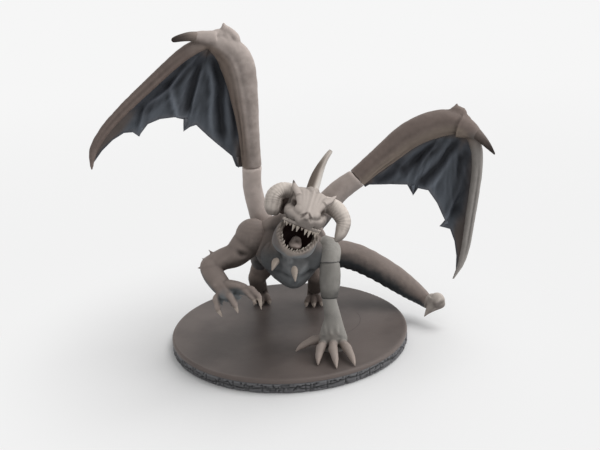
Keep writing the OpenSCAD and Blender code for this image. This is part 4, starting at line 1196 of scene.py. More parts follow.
class BEAST_OT_legs(bpy.types.Operator):
    """Sculpt both crouching hind legs with their three-toed feet"""

    bl_idname = "beast.legs"
    bl_label = "Hind legs"

    def execute(self, context):
        for name, (hip, knee, ankle) in LEGS.items():
            hip, knee, ankle = (np.array(p, float) for p in (hip, knee, ankle))
            clay = Clay().tube([[*(hip + [0, 2, 2]), 5, 5.8], [*(0.55 * hip + 0.45 * knee), 5.5, 6],
                                [*knee, 3.8, 3.8]], up=(0, 1, 0))
            clay.ball(knee + [0, -0.4, 0.3], [3.7, 3.7, 3.7])
            clay.ball(hip + [0, 2, 2], [4.9, 5.6, 5.6])
            clay.tube([[*knee, 3.8, 3.8], [*(0.7 * knee + 0.3 * ankle + [0, -1.5, -1.5]), 3.6, 3.6],
                       [*(0.35 * knee + 0.65 * ankle), 2.9, 2.9], [*ankle, 2.5, 2.5],
                       [*(ankle + [0, 0.8, -3]), 2.9, 2.9], [*(ankle + [0, 0.6, -5.9]), 3, 3]], up=(1, 0, 0))
            toes = []
            for s in (-1, 0, 1):
                toes.append([ankle + [0.8 * s, 0, -3.8], ankle + [2 * s, -3 + 0.4 * abs(s), -3.4],
                             ankle + [3.2 * s, -6 + 0.8 * abs(s), -4.4],
                             ankle + [3.6 * s, -8.4 + abs(s), -5.75]])
                clay.digit(toes[-1], TOE_RADIUS)
            leg = clay.piece(f"beast_{name}_leg")
            fuse(leg, settings().sculpt.limb_voxel, 3)
            roughen(leg, 2.4, 0.08, 7)
            wash_and_shade(leg, claw_tips(toes))
            finish(leg, "figure",
                   clawed_paint("leg_paint", srgb(108, 97, 91), srgb(72, 65, 61)),
                   [f"{name}_thigh", f"{name}_shin", f"{name}_foot"])
        return {"FINISHED"}


class BEAST_OT_tail(bpy.types.Operator):
    """Sculpt the tail and the blade at its end"""

    bl_idname = "beast.tail"
    bl_label = "Tail"

    def execute(self, context):
        def plates(share, angle):
            belly = np.clip(-np.sin(angle), 0, 1) ** 2
            spine = np.exp(-((angle - math.pi / 2) / 0.28) ** 2)
            return 1 + 0.035 * belly * np.sin(share * 110) + 0.05 * spine * (1 + 0.5 * np.sin(share * 70))
        tail = Clay().tube(TAIL, sides=48, steps=14, swell=plates).piece("beast_tail")
        fuse(tail, settings().sculpt.limb_voxel, 3)
        roughen(tail, 2.6, 0.08, 11)
        wash_and_shade(tail)
        finish(tail, "figure",
               clawed_paint("tail_paint", srgb(130, 119, 113), srgb(60, 63, 66), 0.36,
                                                          0.8), ["tail_middle", "tail_end"])

        clay = Clay().tube([[60, 9.4, 4.4, 2.6, 2.6], [60.9, 8, 3.9, 2.7, 2.7], [62.4, 6.4, 5.4, 3, 3.4],
                            [64, 5.2, 6.4, 2, 2.6]])
        clay.ball([64, 5, 6.2], [3.3, 2.1, 3.6], (0, -20, 0))
        clay.tube([[63, 5.2, 7, 2.9, 1.9], [61.2, 4.8, 3.4, 2, 1.3], [58.1, 4, -0.9, 0.15, 0.15]],
                  up=(0, 1, 0))
        clay.tube([[66, 5, 5.6, 1.3, 1.3], [66, 4.8, 3.8, 1.1, 1], [62.4, 4.5, 2.4, 1, 0.8],
                   [59.2, 4.1, 0.2, 0.3, 0.3]], up=(0, 1, 0))
        blade = clay.piece("beast_tail_blade")
        fuse(blade, settings().sculpt.head_voxel, 2)
        carve(blade, [([[59.4, 2.6, 0.6], [62.4, 2.4, 4.6], [65.4, 2.9, 8]], 0.7, -0.5),
                      ([[61.6, 2.8, 1.8], [64.6, 2.6, 4.2], [67, 3.4, 6.2]], 0.7, 0.35)])
        wash_and_shade(blade)
        finish(blade, "figure", horn_paint(), ["tail_barb"])
        return {"FINISHED"}


def in_head(points, place=HEAD):
    """Figure millimetres as the head's own, or the jaw's."""
    inverse = np.linalg.inv(place)
    return points @ inverse[:3, :3].T + inverse[:3, 3]


def arc(half_width, back_y, front_y, back_z, front_z, count):
    """Points round the front of the mouth, from the beast's right corner to its left."""
    corner = math.radians(80)
    angle = np.linspace(-corner, corner, count)
    share = (np.cos(angle) - math.cos(corner)) / (1 - math.cos(corner))
    return np.stack([half_width * np.sin(angle) / math.sin(corner),
                     back_y + (front_y - back_y) * share, back_z + (front_z - back_z) * share], 1)


TOOTH_ROOT = 0.8
TOOTH_LEAN = 0.3


def teeth_along(clay, roots, lengths, radius, up):
    """One pointed tooth at each root, rooted inside what carries it, that leans out and forward."""
    for root, length in zip(roots, lengths):
        tip = root + [0.04 * root[0], -TOOTH_LEAN, length * up]
        clay.spike(root - [0, 0, TOOTH_ROOT * up], tip, radius)


UPPER_LIP = arc(7.0, -4.4, -14.0, -6.0, -4.9, 27)
LOWER_LIP = arc(7.0, -3.6, -13.9, -8.2, -15.9, 27)
RIM_TEETH = arc(7.0, -3.6, -13.9, -8.2, -15.9, 21)[1:-1]
# the jaw hangs a little over to the beast's right
JAW = HEAD @ np.array([[1, 0, 0.13, 1.0], [0, 1, 0, 0], [0, 0, 1, 0], [0, 0, 0, 1]])


class BEAST_OT_skull(bpy.types.Operator):
    """Sculpt the horned skull of the head with its upper teeth"""

    bl_idname = "beast.skull"
    bl_label = "Skull"

    def execute(self, context):
        clay = Clay(HEAD).tube([[0, 7, 0.6, 6.2, 5.6], [0, 2.5, 1.1, 7, 6.2], [0, -2.5, 1.1, 6.8, 5.5],
                                [0, -7, -0.8, 5.8, 4.3], [0, -11, -2.4, 4.9, 3.2], [0, -13.6, -3.2, 3.8, 2.4],
                                [0, -15, -3.4, 2.2, 1.5]], sides=40)
        skull = clay.piece("beast_skull")
        palate = Clay(HEAD).tube([[0, -16, -9.2, 3.4, 2.4], [0, -12, -8.6, 4.6, 3.8], [0, -8, -7.8, 5.3, 4.4],
                                  [0, -4, -6.6, 5.2, 3.6], [0, 0, -5.4, 3.4, 1.6]], sides=40)
        walls = hollow(skull, palate.piece("palate"))
        extra = Clay(HEAD)
        # forehead plate from the crown to the nose, and the crest's swollen root
        extra.tube([[0, 1, 5.4, 6.8, 2], [0, -2.5, 5.2, 6.9, 1.9], [0, -5.5, 3.9, 6.3, 1.8],
                    [0, -8.5, 2.2, 5.2, 1.7], [0, -11.4, 0.4, 4, 1.6], [0, -14, -1.4, 2.6, 1.4]],
                   up=(0, -0.3, 1), sides=40)
        extra.tube([[-0.2, -2.4, 4.6, 2.9, 2.4], [-0.3, -0.9, 6.2, 2.7, 2.5], [-0.5, 0, 7.6, 2.4, 2.2]],
                   up=(0, 1, 0))
        # temple mass behind the horn at -X, which the paint darkens as shadow
        extra.ball([-8.4, 1.6, -0.6], [3.4, 2.8, 5])
        for s in (-1, 1):
            # brow corner that ends in a spike, long muzzle cheek, and the bone back to the hinge
            extra.tube([[4.4 * s, -5.6, 4.2, 2, 1.3], [6.2 * s, -3.4, 5.4, 1.7, 1.2],
                        [7.6 * s, -1.8, 6.8, 1, 0.8], [8.7 * s, -0.9, 8.5, 0.15, 0.15]], sides=20)
            extra.ball([3.4 * s, -8.6, -2.6], [3.6, 5.6, 2.7], (0, 0, -16 * s))
            extra.ball([2.5 * s, -10.4, -0.4], [2.6, 3.6, 2.3], (20, 0, -14 * s))
            extra.ball([5.2 * s, -4.2, -2.4], [3, 5, 2.8], (0, 0, -10 * s))
            extra.tube([[6 * s, -4, -2.4, 1.6, 2.2], [7.4 * s, 0, -2.2, 1.3, 2.2], [7 * s, 3, -2, 1.3, 2]],
                       sides=20)
        # ridge down the forehead to the nose
        extra.tube([[0.1, -1, 7.4, 0.9, 0.9], [0.1, -4, 6.2, 0.7, 0.8], [0, -8, 3.9, 0.6, 0.7],
                    [0, -11.6, 1.5, 0.9, 0.8], [0, -14, -0.5, 1.2, 0.9], [0, -15, -2.2, 0.9, 0.7]],
                   up=(0, -0.5, 1), sides=24)
        extra.tube([[*p, 0.75, 0.7] for p in UPPER_LIP[::3]], sides=14, steps=4)
        join(skull, extra.piece("extra"))
        fuse(skull, settings().sculpt.head_voxel, 3)
        creases = []
        for s in (-1, 1):
            creases += [([[4.4 * s, -8.8, 1.1], [5.8 * s, -6.8, 1], [8.4 * s, -3.2, 1.6]], 0.8, 1.2),
                        ([[0.4 * s, -14.4, 0.4], [1.5 * s, -15, -0.8], [1.9 * s, -15, -1.8]], 0.38, 0.5),
                        ([[5.8 * s, -9.6, -4.2], [7.6 * s, -5, -4.4]], 0.5, 0.35)]
            # fine wrinkles over the muzzle and forehead
            creases += [([[1.8 * s, -14.4, -0.6 - 0.9 * i], [4.2 * s, -12, -1.2 - 0.9 * i],
                          [6.8 * s, -8, -0.9 - 0.9 * i]],
                         0.35, 0.14) for i in range(4)]
            creases += [([[(0.9 + 1.1 * i) * s, -10.6 + 0.3 * i, 2.4], [(1.3 + 1.5 * i) * s, -5, 6],
                          [(1.7 + 1.7 * i) * s, -1, 7.6]], 0.45, 0.1) for i in range(3)]
        creases += [([[x - 0.2, y, z + 1], [x + 0.2, y - 0.3, z - 0.5]], 0.35, 0.25)
                    for x, y, z in UPPER_LIP[4:-4:2] + [0, -0.4, 0.9]]
        carve(skull, creases, HEAD)
        flatten_behind(skull, NECK_SEAM + SEAM_GAP * HEAD_AXIS, HEAD_AXIS)

        def mouth(points):
            return close_to(walls, points, 0.3, 0.75)

        # painted shade in the eye sockets under the brows and in the nostrils, and painted shadow on the
        # temple behind the horn at -X
        def shaded_hollows(points):
            near = [along(in_head(points), [[4.6 * s, -8, 1], [8.2 * s, -3.4, 1.4]])[0] for s in (-1, 1)]
            nose = [along(in_head(points), [[0.4 * s, -14.4, 0.4], [1.9 * s, -15, -1.8]])[0] for s in (-1, 1)]
            local = in_head(points)
            temple = step(-7.2, -8, local[:, 0]) * step(-2.6, -1.4, local[:, 1])
            return np.maximum.reduce([step(1.7, 0.8, np.minimum(*near)), temple,
                                      0.5 * step(0.8, 0.3, np.minimum(*nose))])
        wash_and_shade(skull, mouth, shaded_hollows, scale=0.16)
        paint = settings().paint
        finish(skull, "head", material("skull_paint", lambda name: layered_paint(
            name, paint.skull_lit[:], paint.skull_shade[:], paint.mouth[:], srgb(66, 55, 50), shade_from=0.38,
            shade_to=0.85, deep=0.4, drybrush_and_highlight=0.22)), ["skull"])

        clay = Clay(HEAD)
        roots = UPPER_LIP[3:-3:2] + [0, 0.5, -0.3]
        teeth_along(clay, roots, [1.4, 1.7, 1.2, 2.7, 2.5, 1.3, 2.6, 3, 1.6, 2.4, 1.7], 0.95, -1)
        teeth = wash_and_shade(clay.piece("beast_upper_teeth"))
        finish(teeth, "head", tooth_paint(), ["upper_teeth"])
        return {"FINISHED"}


def join(item, other):
    """Adds another object's faces to an object and removes the other."""
    a, b = item.data, other.data
    points = [v.co[:] for v in a.vertices] + [v.co[:] for v in b.vertices]
    faces = [p.vertices[:] for p in a.polygons]
    faces += [[i + len(a.vertices) for i in p.vertices] for p in b.polygons]
    mesh = bpy.data.meshes.new(item.name)
    mesh.from_pydata(points, [], faces)
    item.data = mesh
    bpy.data.objects.remove(other)
    for old in (a, b):
        bpy.data.meshes.remove(old)
    mesh.name = item.name
    return item


class BEAST_OT_jaw(bpy.types.Operator):
    """Sculpt the lower jaw with its tongue and lower teeth"""

    bl_idname = "beast.jaw"
    bl_label = "Lower jaw"

    def execute(self, context):
        jaw = Clay(JAW).tube([[0, 4, -6, 6.4, 3.8], [0, -2, -9.4, 8, 4.6], [0, -7, -12.8, 8.2, 4.4],
                              [0, -11.5, -14.9, 6.9, 2.9], [0, -14.2, -15.9, 4, 1.6],
                              [0, -15.3, -16.1, 1.8, 0.9]],
                             sides=48).piece("beast_jaw")
        bowl = Clay(JAW).tube([[0, -15, -14, 2.8, 1.7], [0, -13, -13, 4.9, 3], [0, -10, -11.4, 6, 4.4],
                               [0, -6, -8.8, 6.1, 5], [0, -2, -5.8, 4.8, 3.6], [0, 1, -3.8, 3, 1.6]],
                              sides=48)
        walls = hollow(jaw, bowl.piece("bowl"))
        rim = Clay(JAW).tube([[*p, 0.9, 0.95] for p in LOWER_LIP[::2]], sides=20, steps=4)
        for p in RIM_TEETH:
            rim.ball(p + [0.1 * p[0], -0.5, 0.1], [0.62, 0.85, 1.2], (0, 0, 6 * p[0]))
        join(jaw, rim.piece("rim"))
        fuse(jaw, settings().sculpt.head_voxel * 0.85, 1)
        strokes = [([p + [0.1 * p[0], -0.6, -1.8], 0.8 * p + [0, 3.2, -6.2]], 0.5, 0.4)
                   for p in LOWER_LIP[1:-1:2]]
        strokes += [([[7.8 * s, -4, -8.6], [8.4 * s, 0, -7], [7.4 * s, 3.4, -5]], 0.7, 0.4) for s in (-1, 1)]
        carve(jaw, strokes, JAW)
        flatten_behind(jaw, NECK_SEAM + SEAM_GAP * HEAD_AXIS, HEAD_AXIS)

        def mouth(points):
            lip, _ = along(in_head(points, JAW), LOWER_LIP + [0, 0, 0.9])
            return close_to(walls, points, 0.35, 0.9) * step(0.9, 1.7, lip)

        def gum(points):
            lip, _ = along(in_head(points, JAW), LOWER_LIP + [0, -0.2, 0.2])
            return step(1.75, 1.2, lip)
        wash_and_shade(jaw, mouth, gum, scale=0.16)
        paint = settings().paint
        finish(jaw, "head", material("jaw_paint", lambda name: layered_paint(
            name, srgb(104, 99, 97), paint.belly[:], paint.mouth[:], paint.gum[:], deep=0.34, drybrush_and_highlight=0.5)),
            ["lower_jaw"])

        clay = Clay(JAW)
        teeth_along(clay, RIM_TEETH[2:-2] * [0.95, 0.95, 1] + [0, 0, 0.6], [1.0, 1.5] * 8, 0.68, 1)
        teeth = wash_and_shade(clay.piece("beast_lower_teeth"))
        finish(teeth, "head", tooth_paint(), ["lower_teeth"])

        tongue = Clay(JAW).tube([[0.6, -3.6, -11.4, 1.6, 1], [0.8, -6, -12.6, 2.2, 1.3],
                                 [0.8, -8.6, -13.4, 2.4, 1.5], [0.8, -10.6, -13.7, 2, 1.3],
                                 [0.8, -11.6, -13.9, 0.9, 0.7]],
                                sides=32).piece("beast_tongue")
        fuse(tongue, settings().sculpt.head_voxel, 3)
        carve(tongue, [([[0.6, -5, -11.4], [0.8, -8.4, -12.2], [0.8, -9.4, -12.5]], 1.2, 1.1)], JAW)
        wash_and_shade(tongue)
        finish(tongue, "head", tongue_paint(), ["tongue"])
        return {"FINISHED"}


def tongue_paint():
    paint = settings().paint
    return material("tongue_paint", lambda name: layered_paint(
        name, srgb(146, 134, 128), srgb(70, 58, 54), paint.mouth[:], deep=0.3, drybrush_and_highlight=0.5, roughness=0.4))


class BEAST_OT_horns(bpy.types.Operator):
    """Sculpt the two ribbed ram's horns and the crest"""

    bl_idname = "beast.horns"
    bl_label = "Horns and crest"

    def execute(self, context):
        count = settings().sculpt.horn_ribs

        def ribbed(flute_depth):
            def swell(share, angle):
                rings = 0.014 * step(0.75, 0.45, share) * np.sin(share * count * 3 * math.pi)
                flutes = step(0.3, 0.55, share) * flute_depth * (np.abs(np.sin(angle * 4 + share)) - 0.6)
                keel = 0.1 * np.exp(-((angle - 0.4) / 0.3) ** 2)
                return 1 + rings + flutes + keel
            return swell
        tips = {"left": [[14.4, -1, 0.2, 2.8, 2.8], [15, -2, -3.3, 2.4, 2.5], [14.7, -2.9, -5.9, 1.7, 1.8],
                         [14.2, -3.5, -7.6, 0.6, 0.6]],
                "right": [[-13, -1, 0.4, 3.3, 3.4], [-12.6, -2, -2.8, 3.2, 3.2], [-12, -2.9, -5, 2.7, 2.8],
                          [-11.7, -3.3, -6.4, 1.7, 1.7]]}
        for name, side in (("left", 1), ("right", -1)):
            horn = Clay(HEAD).tube([[4.6 * side, 2.4, 2.8, 3, 2.9], [7.8 * side, 1.4, 3.6, 3.1, 3],
                                    [11.2 * side, 0.2, 2.9, 3.2, 3.1], *tips[name]], up=(0, 1, 0), sides=40,
                                   steps=24, swell=ribbed(0.04 + 0.07 * (side < 0)))
            horn = horn.piece(f"beast_{name}_horn")
            wash_and_shade(horn, scale=0.12)
            finish(horn, "head", horn_paint(), [f"{name}_horn"])

        def fluted(share, angle):
            knob = 0.5 * np.exp(-((share - 0.97) / 0.04) ** 2)
            return 1 - 0.2 * np.exp(-((angle - 3.5) / 0.6) ** 2) * (1 - share) + knob \
                + 0.14 * np.exp(-((angle - 4.6) / 0.3) ** 2) + 0.02 * np.sin(angle * 6 + share * 9)
        crest = Clay(HEAD).tube([[-0.4, -0.6, 5.6, 2.6, 2.5], [-0.6, 2.3, 11.5, 2.3, 2.2],
                                 [-0.4, 4.6, 15.5, 1.8, 1.7], [0.3, 6.6, 19.6, 1.2, 1.1],
                                 [1.1, 7.8, 22.4, 0.9, 0.8], [1.3, 8, 23, 0.5, 0.5]],
                                up=(0, 1, 0), sides=40, steps=20, swell=fluted).piece("beast_crest")

        # painted shadow down the crest's side at -X, and a painted highlight down its side at +X
        def shadow_side(points):
            local = in_head(points)
            return 0.85 * step(0.6, -1.2, local[:, 0] - np.interp(local[:, 2], [6, 15, 23], [-0.4, 0, 1])) \
                * step(24, 16, local[:, 2])

        def lit_side(points):
            local = in_head(points)
            return 0.9 * step(0.1, 1.2, local[:, 0] - np.interp(local[:, 2], [6, 15, 23], [-0.4, 0, 1]))
        wash_and_shade(crest, shadow_side, lit_side)
        finish(crest, "head", horn_paint(), ["crest_horn"])
        return {"FINISHED"}


SAIL_COLUMNS, SAIL_ROWS = 170, 44
SAIL_CUP = 5.0
SAIL_THICK = 1.1


def sail_sheet(frame_line, edge, seam, axis, folds, depth):
    """Points and faces of a thin folded sheet between a wing's frame and its trailing edge."""
    def at_shares(line, shares):
        line = np.asarray(line, float)[:, :3]
        run = np.concatenate([[0], np.cumsum(np.linalg.norm(np.diff(line, axis=0), axis=1))])
        return np.stack([np.interp(shares * run[-1], run, line[:, c]) for c in range(3)], 1)
    # the trailing edge keeps its corners, so columns crowd where its points are
    run = np.concatenate([[0], np.cumsum(np.linalg.norm(np.diff(np.asarray(edge, float), axis=0), axis=1))])
    shares = np.unique(np.concatenate([np.linspace(0, 1, SAIL_COLUMNS), run / run[-1]]))
    outer, inner = at_shares(edge, shares), at_shares(frame_line, shares)
    t = np.linspace(0, 1, SAIL_ROWS)[None, :, None]
    sheet = inner[:, None] * (1 - t) + outer[:, None] * t
    chord = np.linalg.norm(outer - inner, axis=1)[:, None]
    cup = np.minimum(SAIL_CUP, chord / 8) * np.sin(math.pi * t[..., 0])
    flat = sheet.reshape(-1, 3)
    sink = np.zeros(len(flat))
    plane = flat.copy()
    plane[:, 1] = 0
    for line, width, height in folds:
        line3 = smooth_run([[x, 0, z] for x, z in line], 5)
        near, share = along(plane, line3)
        fade = np.clip(5 * np.minimum(share, 1 - share) + 0.25, 0, 1)
        sink += depth * height * fade * np.exp(-(near / width) ** 2)
    # fine creases that run out from the wrist
    wrist = np.asarray(max(frame_line, key=lambda p: p[2]), float)[:3]
    far = flat - wrist
    radial = np.stack([14 * np.arctan2(far[:, 2], far[:, 0]), np.linalg.norm(far, axis=1) / 9,
                       0 * far[:, 0]], 1)
    sink += depth * 0.3 * (grain(radial, 0.9, 21) + 0.6 * grain(radial, 0.45, 22))
    fade_root = np.clip(chord / 6, 0, 1)
    sink = sink.reshape(sheet.shape[:2]) * fade_root
    thick = SAIL_THICK * (1 - 0.45 * t[..., 0])
    skins = []
    for face in (-0.5, 0.5):
        skin = sheet.copy()
        skin[..., 1] += cup + sink + face * thick
        skins.append(skin.reshape(-1, 3))
    points = np.vstack(skins)
    away = (points - seam) @ unit(axis) - SEAM_GAP
    points += np.maximum(0, -away)[:, None] * unit(axis)
    n, m = sheet.shape[:2]
    back = n * m
    cells = [i * m + j for i in range(n - 1) for j in range(m - 1)]
    border = ([(i * m, (i + 1) * m) for i in range(n - 1)]
              + [((n - 1) * m + j, (n - 1) * m + j + 1) for j in range(m - 1)]
              + [(i * m + m - 1, (i - 1) * m + m - 1) for i in range(n - 1, 0, -1)]
              + [(j, j - 1) for j in range(m - 1, 0, -1)])
    faces = [[c, c + m, c + m + 1, c + 1] for c in cells]
    faces += [[back + c, back + c + 1, back + c + m + 1, back + c + m] for c in cells]
    faces += [[b, a, back + a, back + b] for a, b in border]
    return points, faces


def make_wing(side, seam, axis, arm, finger, thumb, knuckles, ridge, edge, folds, hooks):
    """Sculpts one wing: its arm and finger, knuckle, thumb claw and sail."""
    voxel = settings().sculpt.limb_voxel
    middle = np.asarray(edge, float).mean(0)
    arm_run, finger_run = smooth_run(arm, 4), smooth_run(finger, 4)

    def towards_sail(points, run):
        """How far round towards the sail a point lies on a limb: 1 on the side that carries it."""
        _, share = along(points, run[:, :3])
        centre = spot(run, share)
        width = np.interp(share, np.linspace(0, 1, len(run)), run[:, 3])
        way = middle - centre
        return ((points - centre) * way).sum(1) / np.linalg.norm(way, axis=1) / width

    clay = Clay().tube(arm, up=(0, 1, 0), sides=48, first=axis).tube(finger, up=(0, 1, 0), sides=32)
    (root_a, tip_a, wide_a), (root_b, tip_b, wide_b) = knuckles
    clay.spike(root_a, tip_a, wide_a).spike(root_b, tip_b, wide_b)
    low_a, low_b = (0.6 * np.array(t) + 0.4 * np.array(r) for r, t, _ in knuckles)
    clay.tube([[*root_a, 2.4, 2.2], [*low_a, 1.9, 1.8], [*low_b, 1.9, 1.8], [*root_b, 2, 2]], up=(0, 1, 0))
    clay.tube(ridge, up=(0, 1, 0))
    clay.tube([[*p[:3], p[3] * wide, p[4] * wide] for p, wide in zip(thumb[:3], (1.3, 1.16, 0.8))],
              up=(0, 1, 0))
    bones = clay.piece(f"beast_{side}_wing")
    fuse(bones, voxel, 4)
    flatten_behind(bones, seam + SEAM_GAP * unit(axis), axis)
    spine = spot(arm_run, np.linspace(0.02, 0.9, 14))
    inward = middle - spine
    inward[:, 1] = 0
    inward /= np.linalg.norm(inward, axis=1)[:, None]
    grooves = [(spine + inward * offset + [0, -front, 0], width, deep) for offset, front, width, deep in (
        (3.4, 2.6, 1.0, 0.8), (1.6, 4.0, 0.5, 0.3), (-0.8, 4.3, 1.4, 0.45))]
    line = spot(finger_run, np.linspace(0.12, 0.9, 12))
    grooves += [(line + [0, -2, -0.5], 0.6, 0.35), (line + [0.5, -1.6, 0.7], 0.4, 0.2)]
    carve(bones, grooves)
    roughen(bones, 2.0, 0.07, 13)

    def on_finger(points):
        near_arm, _ = along(points, arm_run[:, :3])
        near_finger, share = along(points, finger_run[:, :3])
        return step(1.5, -0.5, near_finger - near_arm) * step(0.0, 0.18, share) * 0.9

    def inner_strip(points):
        return step(0.05, 0.75, towards_sail(points, arm_run)) * (1 - on_finger(points))
    wash_and_shade(bones, on_finger, inner_strip)
    finish(bones, f"{side}_wing", wing_paint(side), [f"{side}_wing_arm", f"{side}_wing_finger"])
    claw = Clay().tube(thumb, up=(0, 1, 0), sides=32, steps=12).piece(f"beast_{side}_wing_thumb")
    fuse(claw, voxel * 0.8, 2)
    carve(claw, [([p[:3] for p in np.array(thumb, float)[1:] + [0, -1.2, 0.3, 0, 0]], 0.5, 0.25)])

    def towards_tip(points):
        _, share = along(points, [p[:3] for p in thumb])
        return step(0.35, 0.95, share)
    wash_and_shade(claw, towards_tip)
    finish(claw, f"{side}_wing", thumb_paint(side), [f"{side}_wing_thumb"])

    tip = np.asarray(finger, float)
    frame_line = [p[:3] for p in arm[:-1] + finger[2:-1]] + [list((tip[-2, :3] + tip[-1, :3]) / 2)]
    sheet = Clay().add(*sail_sheet(frame_line, edge, seam, axis, folds, settings().sculpt.fold_depth))
    for root, point in hooks:
        sheet.spike(root, point, 0.9)
    sail = sheet.piece(f"beast_{side}_wing_sail")

    def rim(points):
        outer, _ = along(points, edge)
        inner, _ = along(points, frame_line)
        return np.maximum(0.3 * step(1.8, 0.3, outer), 0.9 * step(7.5, 4.5, inner))

    # painted shade along the sunk folds, and a dark line of painted shade along the trailing edge
    def shaded_folds(points):
        flat = points * [1, 0, 1]
        dark = np.zeros(len(points))
        for line, width, height in folds:
            if height > 0:
                near, share = along(flat, smooth_run([[x, 0, z] for x, z in line], 5))
                fade = np.clip(6 * (1 - share) + 0.2, 0, 1)
                dark = np.maximum(dark, step(2.4 * width, 0.4 * width, near) * fade)
        outer, _ = along(points, edge)
        return np.maximum(dark, 0.9 * step(1.0, 0.3, outer))
    wash_and_shade(sail, rim, shaded_folds, reach=24, scale=0.32)
    finish(sail, f"{side}_wing", sail_paint(), [f"{side}_wing_sail"])


class BEAST_OT_wings(bpy.types.Operator):
    """Sculpt both wings with their arms, claws and folded sails"""

    bl_idname = "beast.wings"
    bl_label = "Wings"

    def execute(self, context):
        make_wing("right", RIGHT_WING_SEAM, RIGHT_WING_AXIS, RIGHT_WING_ARM, RIGHT_FINGER, RIGHT_THUMB,
                  RIGHT_KNUCKLES, RIGHT_WRIST_RIDGE, RIGHT_EDGE, RIGHT_FOLDS, RIGHT_HOOKS)
        make_wing("left", LEFT_WING_SEAM, LEFT_WING_AXIS, LEFT_WING_ARM, LEFT_FINGER, LEFT_THUMB,
                  LEFT_KNUCKLES, LEFT_WRIST_RIDGE, LEFT_EDGE, LEFT_FOLDS, LEFT_HOOKS)
        return {"FINISHED"}


def stone_paint(name):
    """The base's top: warm grey paint with soft darker drifts, a thin darker sunk arc, a painted highlight
    along the lip and painted shadow towards the far side.
    """
    paint = settings().paint
    mix = new_paint(name)
    drift = mix.noise(22.0, 3.0, 0.5)
    speck = mix.noise(0.9, 3.0, 0.6)
    dull, clear = (tuple(share * c for c in paint.base) for share in (0.72, 1.08))
    colour = mix.blend(dull, clear, drift.ramp(0.3, 0.7))
    where = mix.node("ShaderNodeTexCoord").outputs["Object"]
    axes = mix.node("ShaderNodeSeparateXYZ", None, {"Vector": where})
    x, y = (Value(mix, axes.outputs[i]) for i in range(2))
    radius = (x * x + y * y) ** 0.5
    # painted highlight along the lip's edge
    lip = radius.ramp(0.0478, 0.0492)
    colour = mix.blend(colour, tuple(1.25 * c for c in paint.base), lip * 0.6)
    off_centre = ((x - 0.012) * (x - 0.012) + (y - 0.004) * (y - 0.004)) ** 0.5
    ring = abs(off_centre - 0.0185 + (speck - 0.5) * 0.0006)
    arc_line = (1.0 - ring.ramp(0.0, 0.0003)) * x.ramp(0.018, 0.021) * (1.0 - y.ramp(0.008, 0.012))
    # a thin arc is darkened, and painted shadow darkens the top towards the far side, behind the figure
    colour = mix.scaled(colour, (1.0 - arc_line * 0.35) * (1.0 - y.ramp(0.012, 0.05) * 0.35))
    return mix.surface(colour, 0.36 + speck * 0.1, speck - arc_line, bump=0.05)


class BEAST_OT_base(bpy.types.Operator):
    """Paint the base's disc and carve the band around it"""

    bl_idname = "beast.base"
    bl_label = "Base"

    def execute(self, context):
        disc = frame["nodes"]["base_disc"]
        disc.data.materials.clear()
        disc.data.materials.append(material("base_paint", stone_paint))
        columns, rows, stones = 1400, 16, 44
        deepest, behind = 0.8, 2.3
        around = 2 * math.pi * np.arange(columns) / columns
        rise = np.linspace(0, BAND_TOP, rows)
        a, z = np.meshgrid(around, rise, indexing="ij")
        # joints of a worn course of stones, at uneven steps, with chipped faces
        steps = np.cumsum(0.7 + 0.6 * np.abs(np.sin(np.arange(stones) * 12.9898)))
        joints = 2 * math.pi * steps / steps[-1]
        gap = np.abs((a[..., None] - joints + math.pi) % (2 * math.pi) - math.pi).min(-1) * BASE_RADIUS
        spread = np.stack([BASE_RADIUS * np.cos(a), BASE_RADIUS * np.sin(a), z * 1.6], -1).reshape(-1, 3)
        chips = (np.abs(grain(spread, 2.6, 3)) + 0.6 * np.abs(grain(spread, 1.1, 4))).reshape(a.shape)
        face = 1 - 0.7 * np.exp(-(gap / 0.4) ** 2)
        wander = grain(np.stack([30 * np.cos(a), 30 * np.sin(a), 0 * a], -1).reshape(-1, 3), 4.5, 9)
        middle = 0.5 * BAND_TOP * (1 + 0.7 * wander.reshape(a.shape))
        face *= 1 - 0.9 * np.exp(-((z - middle) / 0.28) ** 2)
        ledge = step(0, 0.5, z) * step(BAND_TOP, BAND_TOP - 0.6, z)
        sink = deepest - 0.65 * face * ledge * step(0.12, 0.42, chips)
        outside = BASE_RADIUS - sink
        wall = np.stack([outside * np.cos(a), outside * np.sin(a), z - BASE_TOP], -1)
        rims, inside = a[:, ::rows - 1], BASE_RADIUS - behind
        inner = np.stack([inside * np.cos(rims), inside * np.sin(rims), z[:, ::rows - 1] - BASE_TOP], -1)
        points = np.concatenate([wall, inner[:, ::-1]], 1)
        m = rows + 2
        k = np.arange(columns)
        faces = []
        for j in range(m):
            p, q = k * m + j, ((k + 1) % columns) * m + j
            r, s = ((k + 1) % columns) * m + (j + 1) % m, k * m + (j + 1) % m
            faces += np.stack([p, q, r, s], 1).tolist()
        band = Clay().add(points.reshape(-1, 3), faces).piece("stone_band")
        wash_and_shade(band, reach=8, scale=0.16)
        paint = settings().paint
        finish(band, "figure", material("band_paint", lambda name: layered_paint(
            name, paint.band[:], tuple(0.8 * c for c in paint.band), paint.base[:], deep=0.3, drybrush_and_highlight=0.6)),
            ["base_band"])
        return {"FINISHED"}


class BEAST_OT_pins(bpy.types.Operator):
    """Give the locating pins their brushed steel"""

    bl_idname = "beast.pins"
    bl_label = "Locating pins"

    def execute(self, context):
        def steel(name):
            mix = new_paint(name)
            streak = mix.noise(0.4, 2.0, 0.5)
            return mix.surface(mix.blend((0.5, 0.5, 0.5), (0.65, 0.65, 0.66), streak), 0.3 + streak * 0.15,
                               metallic=1.0)
        for name in ("body_pins", "head_pins"):
            pins = frame["nodes"][name]
            pins.data.materials.clear()
            pins.data.materials.append(material("pin_steel", steel))
        return {"FINISHED"}


